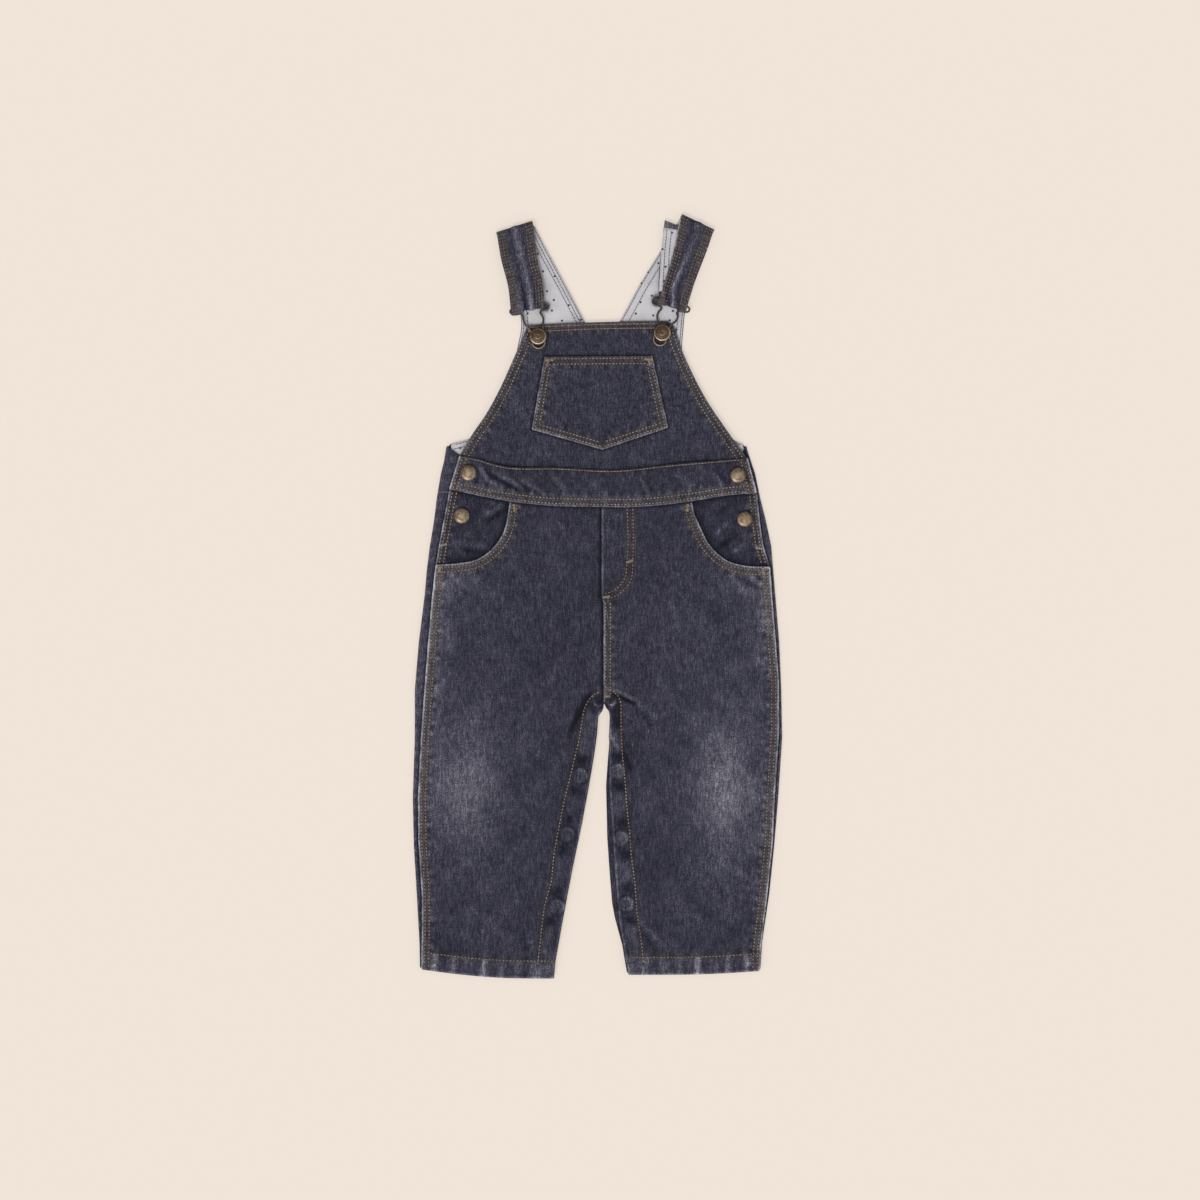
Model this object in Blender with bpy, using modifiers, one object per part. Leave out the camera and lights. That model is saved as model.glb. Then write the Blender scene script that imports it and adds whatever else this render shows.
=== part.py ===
"""Toddler's denim dungarees, laid flat on a surface with the front up.

X runs across the garment, Y from the hems up to the straps, Z up from the surface.
The tables below are in millimetres. Every cloth piece starts as a flat outline filled
with triangles, is laid at its own height and gets its thickness from Solidify.
"""
import math

import bmesh
import bpy
import numpy as np
from mathutils import Vector
from mathutils.geometry import delaunay_2d_cdt

MM = 0.001

# Thicknesses and heights of the layers
CLOTH = 1.0
GAP = 0.3
FOLD_RADIUS = 1.8
BACK_REST = 0.0
LINING_REST = BACK_REST + CLOTH + GAP
FRONT_REST = 2 * FOLD_RADIUS + GAP
LAP = CLOTH + GAP
WAIST_REST = FRONT_REST + LAP
BIB_TOP_REST = LINING_REST + LAP + GAP
RETURN_REST = LINING_REST + LAP
STRAP_TOP = RETURN_REST + LAP + LAP + CLOTH
STRAP_TOP_AT_BUCKLE = 7.6
BAND_RELIEF = 0.4

# Widths hidden under a neighbour, and the band widths that are stitched
TUCK = 6.0
FACING_TUCK = 7.0
HEM_BAND = 13.0
BIB_HEM_BAND = 7.0
WAIST_BAND = 8.5
BAND_STEP = 1.5
BACK_HEM_RISE = 1.0

# The outline is centred on these two values, so that the origin is under its middle
CENTRE_X = -0.412
CENTRE_Y = 0.05

# Outer side of the laid garment, where the back wraps round to the front: y, left x, right x
SIDE_ROWS = (
    (113.5, -113.3, 111.0),
    (109.5, -114.0, 111.8),
    (100.5, -115.5, 114.8),
    (91.5, -117.8, 117.8),
    (73.5, -120.8, 121.5),
    (55.5, -123.0, 126.0),
    (37.5, -126.0, 129.8),
    (19.5, -128.3, 131.3),
    (1.5, -129.8, 132.8),
    (-34.5, -134.3, 135.8),
    (-70.5, -137.3, 137.3),
    (-106.5, -137.3, 138.0),
    (-151.5, -138.8, 135.0),
    (-187.5, -138.0, 132.0),
    (-223.5, -135.8, 128.3),
    (-259.5, -133.8, 123.0),
    (-286.0, -133.3, 121.3),
)

# Outer edge of the front, on the wrapped back: y, left x, right x
FRONT_SIDE_ROWS = (
    (113.5, -101.0, 106.5),
    (104.5, -103.5, 111.8),
    (78.0, -111.2, 118.7),
    (51.8, -116.2, 121.4),
    (37.5, -118.9, 123.6),
    (21.8, -121.5, 128.6),
    (-3.0, -124.3, 130.4),
    (-63.0, -129.2, 135.2),
    (-100.0, -132.0, 135.4),
    (-152.0, -134.6, 132.0),
    (-184.0, -134.2, 130.7),
    (-225.0, -131.6, 126.4),
    (-262.0, -131.7, 122.0),
    (-286.0, -132.4, 120.8),
)

# Inner leg edges of the fronts, from the crotch down: y, left leg x, right leg x
INSEAM_ROWS = (
    (-79.0, 4.0, 4.4),
    (-83.5, 3.9, 6.2),
    (-86.0, 3.0, 8.4),
    (-90.0, 0.0, 9.0),
    (-103.5, -0.9, 8.5),
    (-119.0, -3.0, 8.2),
    (-143.0, -7.1, 8.4),
    (-169.5, -12.0, 10.4),
    (-205.5, -19.5, 12.8),
    (-241.5, -26.3, 15.7),
    (-273.0, -31.9, 20.8),
    (-286.0, -33.2, 23.2),
)
# How far the back shows past the front there: y, left leg, right leg
BACK_SHOW_ROWS = (
    (-84.0, -0.8, 1.6),
    (-110.0, -0.8, 0.2),
    (-140.0, -0.8, -2.2),
    (-180.0, -0.8, -4.2),
    (-230.0, -0.8, -4.2),
    (-262.0, -0.8, -0.8),
    (-286.0, -0.8, -0.8),
)

# Hem lines, from the outer side to the inner leg: x, y
HEM_LEFT = ((-132.2, -279.3), (-108.0, -282.5), (-71.0, -285.6), (-33.0, -286.1))
HEM_RIGHT = ((120.9, -280.5), (85.4, -282.6), (38.8, -283.3), (23.0, -283.3))

# Front edges at the centre line: the fly's lap, then the crotch seam
FLY_EDGE_X = 2.65
FLY_FOOT_Y = 0.0
CROTCH_SEAM_X = 4.05
CROTCH_Y = -79.0

# Hip pocket openings, from the waist down to the side: x, y
OPENING_LEFT = (
    (-66.0, 69.8),
    (-67.1, 61.8),
    (-70.7, 47.3),
    (-78.8, 35.5),
    (-90.7, 27.2),
    (-105.0, 24.3),
    (-121.2, 23.3),
)
OPENING_RIGHT = (
    (70.4, 69.1),
    (71.6, 62.5),
    (75.0, 54.5),
    (84.0, 37.3),
    (96.8, 26.3),
    (109.5, 22.6),
    (128.4, 21.8),
)

# Waist panel edges, left to right: x, y
WAIST_LOWER = (
    (-111.2, 80.0),
    (-66.2, 70.9),
    (-39.0, 67.9),
    (-2.3, 66.8),
    (29.6, 66.8),
    (75.0, 71.8),
    (94.1, 75.0),
    (118.7, 77.3),
)
WAIST_UPPER = (
    (-103.5, 105.0),
    (-93.4, 103.4),
    (-71.6, 97.4),
    (-29.8, 96.2),
    (12.8, 94.4),
    (54.0, 98.4),
    (94.1, 101.9),
    (111.8, 103.5),
)

# Bib edges: x, y
BIB_TOP = ((-52.4, 202.6), (-2.0, 204.8), (52.3, 205.6))
BIB_LEFT = (
    (-52.4, 202.6),
    (-58.5, 188.0),
    (-65.3, 172.5),
    (-73.5, 154.5),
    (-83.3, 136.5),
    (-94.5, 120.0),
    (-103.5, 105.0),
)
BIB_RIGHT = (
    (57.0, 201.3),
    (63.8, 181.5),
    (72.0, 163.5),
    (81.8, 145.5),
    (93.8, 127.5),
    (104.5, 112.5),
    (110.8, 103.8),
)
BIB_POCKET = ((-39.9, 178.9), (-49.4, 124.7), (3.2, 109.6), (52.3, 126.0), (40.5, 179.6))

# Back bib: neck and armhole edges, from the shoulder down: x, y
NECK_LEFT = ((-44.5, 270.9), (-38.1, 259.0), (-26.7, 237.8), (-10.4, 207.0), (2.3, 184.5))
NECK_RIGHT = ((56.0, 274.2), (47.0, 259.0), (31.1, 233.0), (17.3, 207.8), (2.3, 184.5))
ARMHOLE_LEFT = (
    (-72.8, 261.9),
    (-65.0, 236.0),
    (-58.0, 211.0),
    (-57.4, 201.8),
    (-60.0, 187.5),
    (-71.0, 145.5),
    (-81.0, 127.5),
    (-92.5, 119.5),
    (-110.5, 114.0),
)
ARMHOLE_RIGHT = (
    (82.0, 260.0),
    (73.5, 238.0),
    (65.3, 213.4),
    (63.8, 199.5),
    (62.9, 186.6),
    (71.0, 150.0),
    (83.0, 131.0),
    (102.3, 116.8),
    (108.5, 113.8),
)
WAIST_SEAM_Y = 78.0

# Top of the back's wrapped sides: at the side, at the end of the turn, and under the front
SIDE_TOP_Y = 112.5
WRAP_TOP_Y = 111.5
WRAP_END_Y = 102.0

# Lining of the back bib: its inset at the armholes, its shoulders (arm, neck) and its hidden edge
LINING_INSET = 0.4
LINING_SHOULDERS = {
    "left": ((-75.0, 268.4), (-47.2, 277.2)),
    "right": ((85.2, 270.6), (61.3, 282.4)),
}
LINING_LOWER = (
    (-109.6, 104.0),
    (-104.0, 84.0),
    (0.0, 84.0),
    (106.0, 84.0),
    (110.6, 104.0),
    (109.4, 109.0),
)

# Hidden top of the pocket facings: its height at the seam, and each corner's step inwards and up
FACING_TOP_Y = 87.0
FACING_TOP = ((20.0, -3.0), (3.0, 8.0))

# Heights between which the bib comes down on to the lining
BIB_FOOT_Y = 98.0
BIB_HEAD_Y = 204.0

# Soft folds: x1, y1, x2, y2, height, width
FRONT_FOLDS = (
    (-80.0, 2.0, -52.0, -26.0, 0.5, 26.0),
    (-30.0, -84.0, -52.0, -120.0, 0.6, 24.0),
    (-112.0, -92.0, -84.0, -126.0, 0.5, 30.0),
    (-104.0, -170.0, -76.0, -206.0, 0.6, 30.0),
    (-60.0, -226.0, -92.0, -258.0, 0.5, 26.0),
    (16.0, -80.0, 42.0, -112.0, 0.6, 22.0),
    (62.0, 0.0, 92.0, -28.0, 0.5, 26.0),
    (112.0, -100.0, 82.0, -134.0, 0.5, 30.0),
    (104.0, -176.0, 72.0, -208.0, 0.6, 30.0),
    (52.0, -222.0, 80.0, -252.0, 0.5, 26.0),
)
WAIST_FOLDS = (
    (-89.0, 93.0, -77.0, 83.0, 0.5, 7.0),
    (-79.0, 90.0, -57.0, 78.0, 0.5, 7.0),
    (-59.0, 87.0, -40.0, 76.0, 0.4, 7.0),
    (32.0, 88.0, 38.0, 78.0, 0.4, 7.0),
)
BIB_FOLDS = (
    (-52.0, 112.0, -22.0, 101.0, 0.4, 16.0),
    (66.0, 150.0, 84.0, 122.0, 0.4, 16.0),
)

# Straps: the fold at the shoulder, the sewn start on the back and the turn at the buckle.
# Each row is: left x, left y, right x, right y
STRAPS = {
    "left": {
        "start": (-73.2, 262.4, -44.9, 271.4),
        "shoulder": (-76.3, 272.4, -49.5, 281.0),
        "front": ((-72.6, 252.0, -46.4, 256.0), (-67.2, 230.0, -42.6, 233.0)),
        "turn": (-62.0, 212.4, -40.1, 215.6),
        "return": ((-60.8, 222.0, -42.0, 224.6), (-66.8, 248.0, -47.6, 254.0), (-68.6, 256.0, -49.4, 262.0)),
        "crease": 0.45,
    },
    "right": {
        "start": (56.3, 274.7, 82.3, 260.6),
        "shoulder": (62.9, 286.2, 87.2, 274.4),
        "front": ((56.6, 258.0, 77.6, 250.6), (49.6, 234.0, 70.4, 229.0)),
        "turn": (45.2, 218.4, 64.7, 213.9),
        "return": ((45.4, 226.5, 64.6, 222.5), (47.4, 259.0, 69.0, 254.0), (49.9, 281.4, 72.5, 272.6)),
        "crease": 0.55,
    },
}
STRAP_COLUMNS = 6
TURN_STEPS = 6
STRAP_CREASE = 0.7
CREASE_SPREAD = 0.25

# Lining sewn inside the right strap's free end, which shows beside the strap: y, left x, right x
END_LINING_ROWS = ((273.0, 49.4, 66.0), (259.0, 48.5, 67.5), (228.0, 46.6, 62.5))
END_LINING_SLANT = 3.0

# Wire buckles: one closed loop, from the bar's left end anticlockwise: x, y, z
WIRE_RADIUS = 0.75
BAR_Z = 5.1
BAR_STEPS = 4
KEYHOLE_Z = 5.5
KEYHOLE_START = 175.0
KEYHOLE_SWEEP = 190.0
KEYHOLE_STEPS = 8
BUCKLES = {
    "left": {
        "bar": ((-38.5, 218.5), (-64.2, 214.6)),
        "left side": (
            (-65.6, 213.6, 5.1),
            (-65.5, 211.9, 5.1),
            (-64.0, 210.7, 5.1),
            (-61.0, 210.6, 5.1),
            (-58.0, 210.9, 5.15),
            (-56.4, 209.6, 5.2),
            (-56.0, 207.0, 5.3),
            (-55.2, 204.6, 5.4),
            (-53.4, 201.8, 5.5),
            (-50.6, 198.4, 5.5),
            (-49.2, 195.0, 5.5),
        ),
        "lobe": (-44.5, 190.0, 4.7),
        "right side": (
            (-40.4, 195.0, 5.5),
            (-40.9, 199.0, 5.5),
            (-41.3, 203.6, 5.4),
            (-40.9, 207.4, 5.3),
            (-42.2, 210.4, 5.2),
            (-43.2, 212.4, 5.1),
            (-42.2, 213.8, 5.1),
            (-39.8, 214.1, 5.1),
            (-37.8, 215.0, 5.1),
            (-37.2, 216.8, 5.1),
        ),
    },
    "right": {
        "bar": ((67.3, 216.4), (42.6, 222.0)),
        "left side": (
            (41.2, 221.6, 5.1),
            (40.8, 219.8, 5.1),
            (42.0, 218.2, 5.1),
            (44.4, 217.3, 5.1),
            (46.9, 216.6, 5.15),
            (47.4, 215.0, 5.2),
            (45.8, 213.0, 5.25),
            (44.4, 210.4, 5.3),
            (44.4, 207.6, 5.4),
            (45.0, 204.4, 5.5),
            (44.4, 200.0, 5.5),
            (43.4, 197.0, 5.5),
        ),
        "lobe": (46.4, 192.1, 4.7),
        "right side": (
            (52.4, 197.0, 5.5),
            (53.2, 200.0, 5.5),
            (54.6, 202.6, 5.5),
            (58.0, 205.4, 5.4),
            (59.7, 208.8, 5.3),
            (59.0, 211.6, 5.2),
            (60.4, 213.3, 5.1),
            (62.6, 213.2, 5.1),
            (65.6, 212.4, 5.1),
            (67.9, 213.0, 5.1),
            (68.5, 214.9, 5.1),
        ),
    },
}

# Metal buttons: name, x, y, cap radius, height of the cloth below, length of the neck
BUTTON_NECK_RADIUS = 2.2
BUTTON_STEPS = 24
SHORT_NECK = 0.9
BIB_CLOTH_TOP = 4.45
BIB_NECK = KEYHOLE_Z + WIRE_RADIUS - BIB_CLOTH_TOP
BUTTONS = (
    ("bib_button_left", -44.8, 194.3, 6.5, BIB_CLOTH_TOP, BIB_NECK),
    ("bib_button_right", 48.0, 197.0, 6.6, BIB_CLOTH_TOP, BIB_NECK),
    ("waist_button_left", -96.8, 92.0, 6.1, WAIST_REST + CLOTH, SHORT_NECK),
    ("waist_button_right", 104.6, 90.2, 6.0, WAIST_REST + CLOTH, SHORT_NECK),
    ("hip_button_left", -101.9, 60.0, 6.0, FRONT_REST + CLOTH, SHORT_NECK),
    ("hip_button_right", 109.7, 57.5, 5.9, FRONT_REST + CLOTH, SHORT_NECK),
)

# The cap's profile from the top: share of its radius, height above its underside
BUTTON_CAP = ((0.0, 1.7), (0.45, 1.65), (0.8, 1.35), (1.0, 0.75), (1.0, 0.3), (0.86, 0.0))

# Snap fasteners between the front and back plackets: name, x, y
SNAP_RADIUS = 5.0
SNAP_STEPS = 20
SNAP_BEVEL = 0.4
SNAP_FLAT = 0.86
SNAPS = (
    ("snap_left_1", -13.2, -134.3),
    ("snap_left_2", -23.3, -178.5),
    ("snap_left_3", -30.6, -232.5),
    ("snap_right_1", 14.6, -131.1),
    ("snap_right_2", 17.2, -181.5),
    ("snap_right_3", 21.4, -230.6),
    ("snap_crotch", 6.4, -76.5),
)

# Distance between the points inside a sheet
FRONT_SPACING = 11.0
BACK_SPACING = 17.0
SMALL_SPACING = 9.0

# Distance between the points along an edge, and counts of steps
HEM_STEP = 12.0
SIDE_STEP = 14.0
NECK_STEP = 14.0
WRAP_STEP = 8.0
WRAP_STEPS = 4
INSEAM_STEPS = 17

COLOURS = {
    "denim": ((0.052, 0.056, 0.082, 1.0), 0.92, 0.0),
    "lining": ((0.62, 0.62, 0.66, 1.0), 0.9, 0.0),
    "brass": ((0.24, 0.17, 0.09, 1.0), 0.42, 1.0),
    "wire": ((0.09, 0.08, 0.07, 1.0), 0.45, 1.0),
}


def clear_scene():
    for item in list(bpy.data.objects):
        bpy.data.objects.remove(item, do_unlink=True)


def new_collection(name):
    collection = bpy.data.collections.new(name)
    bpy.context.scene.collection.children.link(collection)
    return collection


def new_material(name, finish):
    colour, roughness, metallic = COLOURS[finish]
    material = bpy.data.materials.new(name)
    material.use_nodes = True
    shader = material.node_tree.nodes["Principled BSDF"]
    shader.inputs["Base Color"].default_value = colour
    shader.inputs["Roughness"].default_value = roughness
    shader.inputs["Metallic"].default_value = metallic
    material.diffuse_color = colour
    return material


def centred(x, y, z):
    """Garment millimetres to metres about the origin."""
    return Vector(((x - CENTRE_X) * MM, (y - CENTRE_Y) * MM, z * MM))


def add_object(name, data, finish, collection):
    item = bpy.data.objects.new(name, data)
    data.materials.append(new_material(name, finish))
    collection.objects.link(item)
    return item


def column_at(rows, y, column):
    """One column of a table whose first column is y, between its rows."""
    table = np.array(rows)[::-1]
    return np.interp(y, table[:, 0], table[:, column])


def curve_through(points, step):
    """Points no more than step apart on a smooth curve through the given ones."""
    given = np.array(points, float)
    chord = np.hypot(*np.diff(given, axis=0).T)
    secant = np.diff(given, axis=0) / chord[:, None]
    slope = np.vstack((secant[:1], secant))
    for i in range(1, len(given) - 1):
        before, after = chord[i - 1], chord[i]
        slope[i] = (secant[i - 1] * after + secant[i] * before) / (before + after)
    traced = []
    for i, length in enumerate(chord):
        count = max(1, math.ceil(length / step))
        for k in range(count):
            t = k / count
            start = (2 * t ** 3 - 3 * t ** 2 + 1) * given[i] + (t ** 3 - 2 * t ** 2 + t) * length * slope[i]
            end = (3 * t ** 2 - 2 * t ** 3) * given[i + 1] + (t ** 3 - t ** 2) * length * slope[i + 1]
            traced.append(start + end)
    traced.append(given[-1])
    return np.array(traced)


def rows_line(rows, column, top, bottom, step, shift=0.0):
    """A side line read from a table, from the top y to the bottom y."""
    count = max(2, math.ceil(abs(top - bottom) / step) + 1)
    y = np.linspace(top, bottom, count)
    return np.column_stack((column_at(rows, y, column) + shift, y))


def joined(*edges):
    """Edges end to end as one closed outline, without doubled corners."""
    outline = []
    for edge in edges:
        for point in np.array(edge, float):
            if not outline or np.hypot(*(point - outline[-1])) > 0.2:
                outline.append(point)
    if np.hypot(*(outline[0] - outline[-1])) <= 0.2:
        outline.pop()
    return np.array(outline)


def distance_to(points, line):
    """Distance from each point to an open line."""
    nearest = np.full(len(points), 1e9)
    for start, end in zip(line[:-1], line[1:]):
        along = end - start
        length = max(float(along @ along), 1e-12)
        t = np.clip((points - start) @ along / length, 0.0, 1.0)
        nearest = np.minimum(nearest, np.hypot(*(points - start - t[:, None] * along).T))
    return nearest


def inside(points, outline):
    """Which points lie inside a closed outline."""
    x, y = points.T
    result = np.zeros(len(points), bool)
    for (x1, y1), (x2, y2) in zip(outline, np.roll(outline, -1, axis=0)):
        crosses = (y1 > y) != (y2 > y)
        at = x1 + (y - y1) / (y2 - y1 if y2 != y1 else 1e-9) * (x2 - x1)
        result ^= crosses & (x < at)
    return result


def shifted(line, distance):
    """An open line moved sideways, to the left of its direction where distance is positive."""
    line = np.array(line, float)
    along = np.gradient(line, axis=0)
    along /= np.hypot(*along.T)[:, None]
    return line + distance * np.column_stack((-along[:, 1], along[:, 0]))


def fold_height(points, folds):
    """Height that the soft folds add: a round ridge that fades to both of its ends."""
    height = np.zeros(len(points))
    for x1, y1, x2, y2, rise, width in folds:
        start, along = np.array((x1, y1)), np.array((x2 - x1, y2 - y1))
        t = (points - start) @ along / (along @ along)
        off = np.hypot(*(points - start - np.clip(t, 0, 1)[:, None] * along).T)
        ends = np.clip(np.minimum(t, 1 - t) * 3 + 0.4, 0, 1)
        height += rise * ends * np.where(off < width / 2, np.cos(np.pi * off / width) ** 2, 0.0)
    return height


def lap(distance, flat, end):
    """One up to the flat distance, falling to nothing at the end distance."""
    return np.clip((end - distance) / (end - flat), 0.0, 1.0)


def fill_outline(outline, spacing, guides=()):
    """Fill a flat outline with even triangles whose edges keep to the guide lines."""
    low, high = outline.min(axis=0), outline.max(axis=0)
    row_step = spacing * math.sqrt(3) / 2
    grid = []
    for row, y in enumerate(np.arange(low[1] + row_step / 2, high[1], row_step)):
        for x in np.arange(low[0] + (row % 2) * spacing / 2, high[0], spacing):
            grid.append((x, y))
    grid = np.array(grid)
    closed = np.vstack((outline, outline[:1]))
    keep = inside(grid, outline) & (distance_to(grid, closed) > spacing * 0.5)
    for guide in guides:
        keep &= distance_to(grid, guide) > spacing * 0.35
    points = [Vector(point) for point in outline]
    edges = []
    for guide in guides:
        first = len(points)
        points += [Vector(point) for point in guide]
        edges += [(k, k + 1) for k in range(first, len(points) - 1)]
    points += [Vector(point) for point in grid[keep]]
    boundary = list(range(len(outline)))
    filled = delaunay_2d_cdt(points, edges, [boundary], 1, 1e-5)
    flat = np.array([(point.x, point.y) for point in filled[0]])
    return flat, filled[2]


def add_sheet(name, outline, spacing, place, finish, collection, guides=(), skin_out=False):
    """A cloth piece: its outline filled flat, each point laid by place, then thickened.

    The laid points are the underside, or the outer skin where skin_out is set.
    """
    flat, faces = fill_outline(outline, spacing, guides)
    laid = place(flat)
    mesh = bpy.data.meshes.new(name)
    mesh.from_pydata([centred(*point) for point in laid], [], faces)
    shape = bmesh.new()
    shape.from_mesh(mesh)
    bmesh.ops.recalc_face_normals(shape, faces=shape.faces)
    middle = max(shape.faces, key=lambda face: face.calc_area())
    if (middle.normal.z > 0) == skin_out:
        bmesh.ops.reverse_faces(shape, faces=shape.faces)
    shape.to_mesh(mesh)
    shape.free()
    item = add_object(name, mesh, finish, collection)
    wall = item.modifiers.new("Cloth", "SOLIDIFY")
    wall.thickness = CLOTH * MM
    wall.offset = -1.0 if skin_out else 1.0
    return item


def side_of(side):
    """Table column and outward sign of a side."""
    return (1, -1.0) if side == "left" else (2, 1.0)


def opening_of(side):
    return curve_through(OPENING_LEFT if side == "left" else OPENING_RIGHT, 7.0)


def opening_raise(points, side):
    """The front rides over the pocket facing near the opening."""
    return LAP * lap(distance_to(points, opening_of(side)), FACING_TUCK + 3.0, FACING_TUCK + 14.0)


def hem_of(side):
    return curve_through(HEM_LEFT if side == "left" else HEM_RIGHT, HEM_STEP)


def waist_y(x):
    """Lower edge of the waist panel."""
    table = np.array(WAIST_LOWER)
    return np.interp(x, table[:, 0], table[:, 1])


def front_outline(side):
    """Hem, inner leg, centre seam, waist, pocket opening and side seam."""
    column, sign = side_of(side)
    hem = hem_of(side)
    inseam = rows_line(INSEAM_ROWS, column, CROTCH_Y, hem[-1][1] + 2.0, SIDE_STEP)[::-1]
    clearance = 0.0 if side == "left" else GAP
    centre = (
        (CROTCH_SEAM_X + clearance, CROTCH_Y + 3.0),
        (CROTCH_SEAM_X + clearance, CROTCH_Y / 2),
        (CROTCH_SEAM_X + clearance, FLY_FOOT_Y - 5.0),
        (FLY_EDGE_X + clearance, FLY_FOOT_Y),
        (FLY_EDGE_X + clearance, waist_y(FLY_EDGE_X) / 2),
        (FLY_EDGE_X + clearance, waist_y(FLY_EDGE_X) + TUCK),
    )
    opening = opening_of(side)
    top_x = opening[0][0] - sign * 0.5
    middle_x = (FLY_EDGE_X + opening[0][0]) / 2
    waist = ((middle_x, waist_y(middle_x) + TUCK), (top_x, opening[0][1] + TUCK))
    seam = rows_line(FRONT_SIDE_ROWS, column, opening[-1][1] - 1.0, hem[0][1] + 4.0, SIDE_STEP)
    return joined(hem, inseam, centre, waist, opening, seam)


def add_fronts(collection):
    for side in ("left", "right"):
        hem = hem_of(side)

        def place(points, side=side, hem=hem):
            z = FRONT_REST + opening_raise(points, side) + fold_height(points, FRONT_FOLDS)
            z = z + BAND_RELIEF * lap(distance_to(points, hem), HEM_BAND, HEM_BAND + BAND_STEP)
            return np.column_stack((points, z))

        outline = front_outline(side)
        hem_lines = [hem + (0.0, HEM_BAND), hem + (0.0, HEM_BAND + BAND_STEP)]
        guides = [line[inside(line, outline)] for line in hem_lines]
        add_sheet(f"front_{side}", outline, FRONT_SPACING, place, "denim", collection, guides)


def add_facings(collection):
    """The cloth seen inside each hip pocket opening."""
    for side in ("left", "right"):
        column, sign = side_of(side)
        opening = opening_of(side)
        hidden = shifted(opening, -sign * FACING_TUCK)
        seam = rows_line(FRONT_SIDE_ROWS, column, FACING_TOP_Y, opening[-1][1] - TUCK, SIDE_STEP)
        waist = []
        for corner, (inwards, up) in zip((seam[0], opening[0]), FACING_TOP):
            waist.append((corner[0] - sign * inwards, corner[1] + up))
        hidden = hidden[1:-1]
        outline = joined(seam, hidden[::-1], waist[::-1])

        def place(points):
            return np.column_stack((points, np.full(len(points), FRONT_REST)))

        add_sheet(f"pocket_facing_{side}", outline, SMALL_SPACING, place, "denim", collection)


def add_waist_panel(collection):
    lower = curve_through(WAIST_LOWER, HEM_STEP)
    upper = curve_through(WAIST_UPPER, HEM_STEP)
    outline = joined(lower, upper[::-1])

    def place(points):
        z = WAIST_REST + fold_height(points, WAIST_FOLDS)
        for side in ("left", "right"):
            corner = opening_of(side)[:1].repeat(2, axis=0) + ((0, -WAIST_BAND), (0, 2 * TUCK))
            z = z + LAP * lap(distance_to(points, corner), 2 * FACING_TUCK, 4 * FACING_TUCK)
        z = z + BAND_RELIEF * lap(distance_to(points, lower), WAIST_BAND, WAIST_BAND + BAND_STEP)
        return np.column_stack((points, z))

    band = lower[1:-1] + (0.0, WAIST_BAND)
    guides = (band, band + (0.0, BAND_STEP))
    add_sheet("waist_panel", outline, SMALL_SPACING, place, "denim", collection, guides)


def bib_rest(y):
    """The bib lies highest at the waist and comes down towards its top."""
    return FRONT_REST + (BIB_TOP_REST - FRONT_REST) * (y - BIB_FOOT_Y) / (BIB_HEAD_Y - BIB_FOOT_Y)


def add_bib(collection):
    top = curve_through(BIB_TOP, 14.0)
    left = curve_through(BIB_LEFT, 10.0)
    right = curve_through(BIB_RIGHT, 10.0)
    under = [(x, y - TUCK) for x, y in curve_through(WAIST_UPPER, 14.0)[1:-1]]
    outline = joined(left, under, right[::-1], top[::-1])

    def place(points):
        z = bib_rest(points[:, 1]) + fold_height(points, BIB_FOLDS)
        z = z + BAND_RELIEF * lap(distance_to(points, top), BIB_HEM_BAND, BIB_HEM_BAND + BAND_STEP)
        return np.column_stack((points, z))

    band = top[1:-1] - (0.0, BIB_HEM_BAND)
    guides = (band, band - (0.0, BAND_STEP))
    add_sheet("bib_front", outline, FRONT_SPACING, place, "denim", collection, guides)


def add_bib_pocket(collection):
    corners = BIB_POCKET + BIB_POCKET[:1]
    edges = [curve_through(pair, 9.0) for pair in zip(corners[:-1], corners[1:])]

    def place(points):
        z = bib_rest(points[:, 1]) + LAP + fold_height(points, BIB_FOLDS)
        return np.column_stack((points, z))

    add_sheet("bib_pocket", joined(*edges), SMALL_SPACING, place, "denim", collection)


def wrap_side(points, side):
    """Roll a flat sheet round the garment's side, so that its end lies on top."""
    column, sign = side_of(side)
    x, y = points.T
    centre = column_at(SIDE_ROWS, y, column) - sign * FOLD_RADIUS
    past = (x - centre) * sign
    turn = math.pi * FOLD_RADIUS
    angle = np.clip(past, 0.0, turn) / FOLD_RADIUS
    over = np.maximum(past - turn, 0.0)
    wrapped_x = centre + sign * (FOLD_RADIUS * np.sin(angle) - over)
    wrapped_z = FOLD_RADIUS * (1.0 - np.cos(angle))
    outside = past > 0.0
    return np.where(outside, wrapped_x, x), np.where(outside, wrapped_z, 0.0)


def unrolled_line(side, top, bottom, step, past):
    """A line along the side at a given distance past the start of the wrap."""
    column, sign = side_of(side)
    line = rows_line(SIDE_ROWS, column, top, bottom, step)
    line[:, 0] += sign * (past - FOLD_RADIUS)
    return line


def unrolled_end(side, top, bottom, step):
    """Where the wrapped strip ends, under the front's edge, on the unrolled sheet."""
    column, sign = side_of(side)
    line = rows_line(SIDE_ROWS, column, top, bottom, step)
    centre = line[:, 0] - sign * FOLD_RADIUS
    end = column_at(FRONT_SIDE_ROWS, line[:, 1], column) - sign * (TUCK - 0.5)
    line[:, 0] = centre + sign * (math.pi * FOLD_RADIUS + (centre - end) * sign)
    return line


def wrap_edge(side, y_over, y_flat):
    """An edge that runs round the side, from the top of the wrap to the flat part."""
    column, sign = side_of(side)
    edge = []
    for k in range(WRAP_STEPS, -1, -1):
        y = y_flat + (y_over - y_flat) * k / WRAP_STEPS
        x = column_at(SIDE_ROWS, y, column) + sign * (math.pi * FOLD_RADIUS * k / WRAP_STEPS - FOLD_RADIUS)
        edge.append((x, y))
    return np.array(edge)


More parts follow.
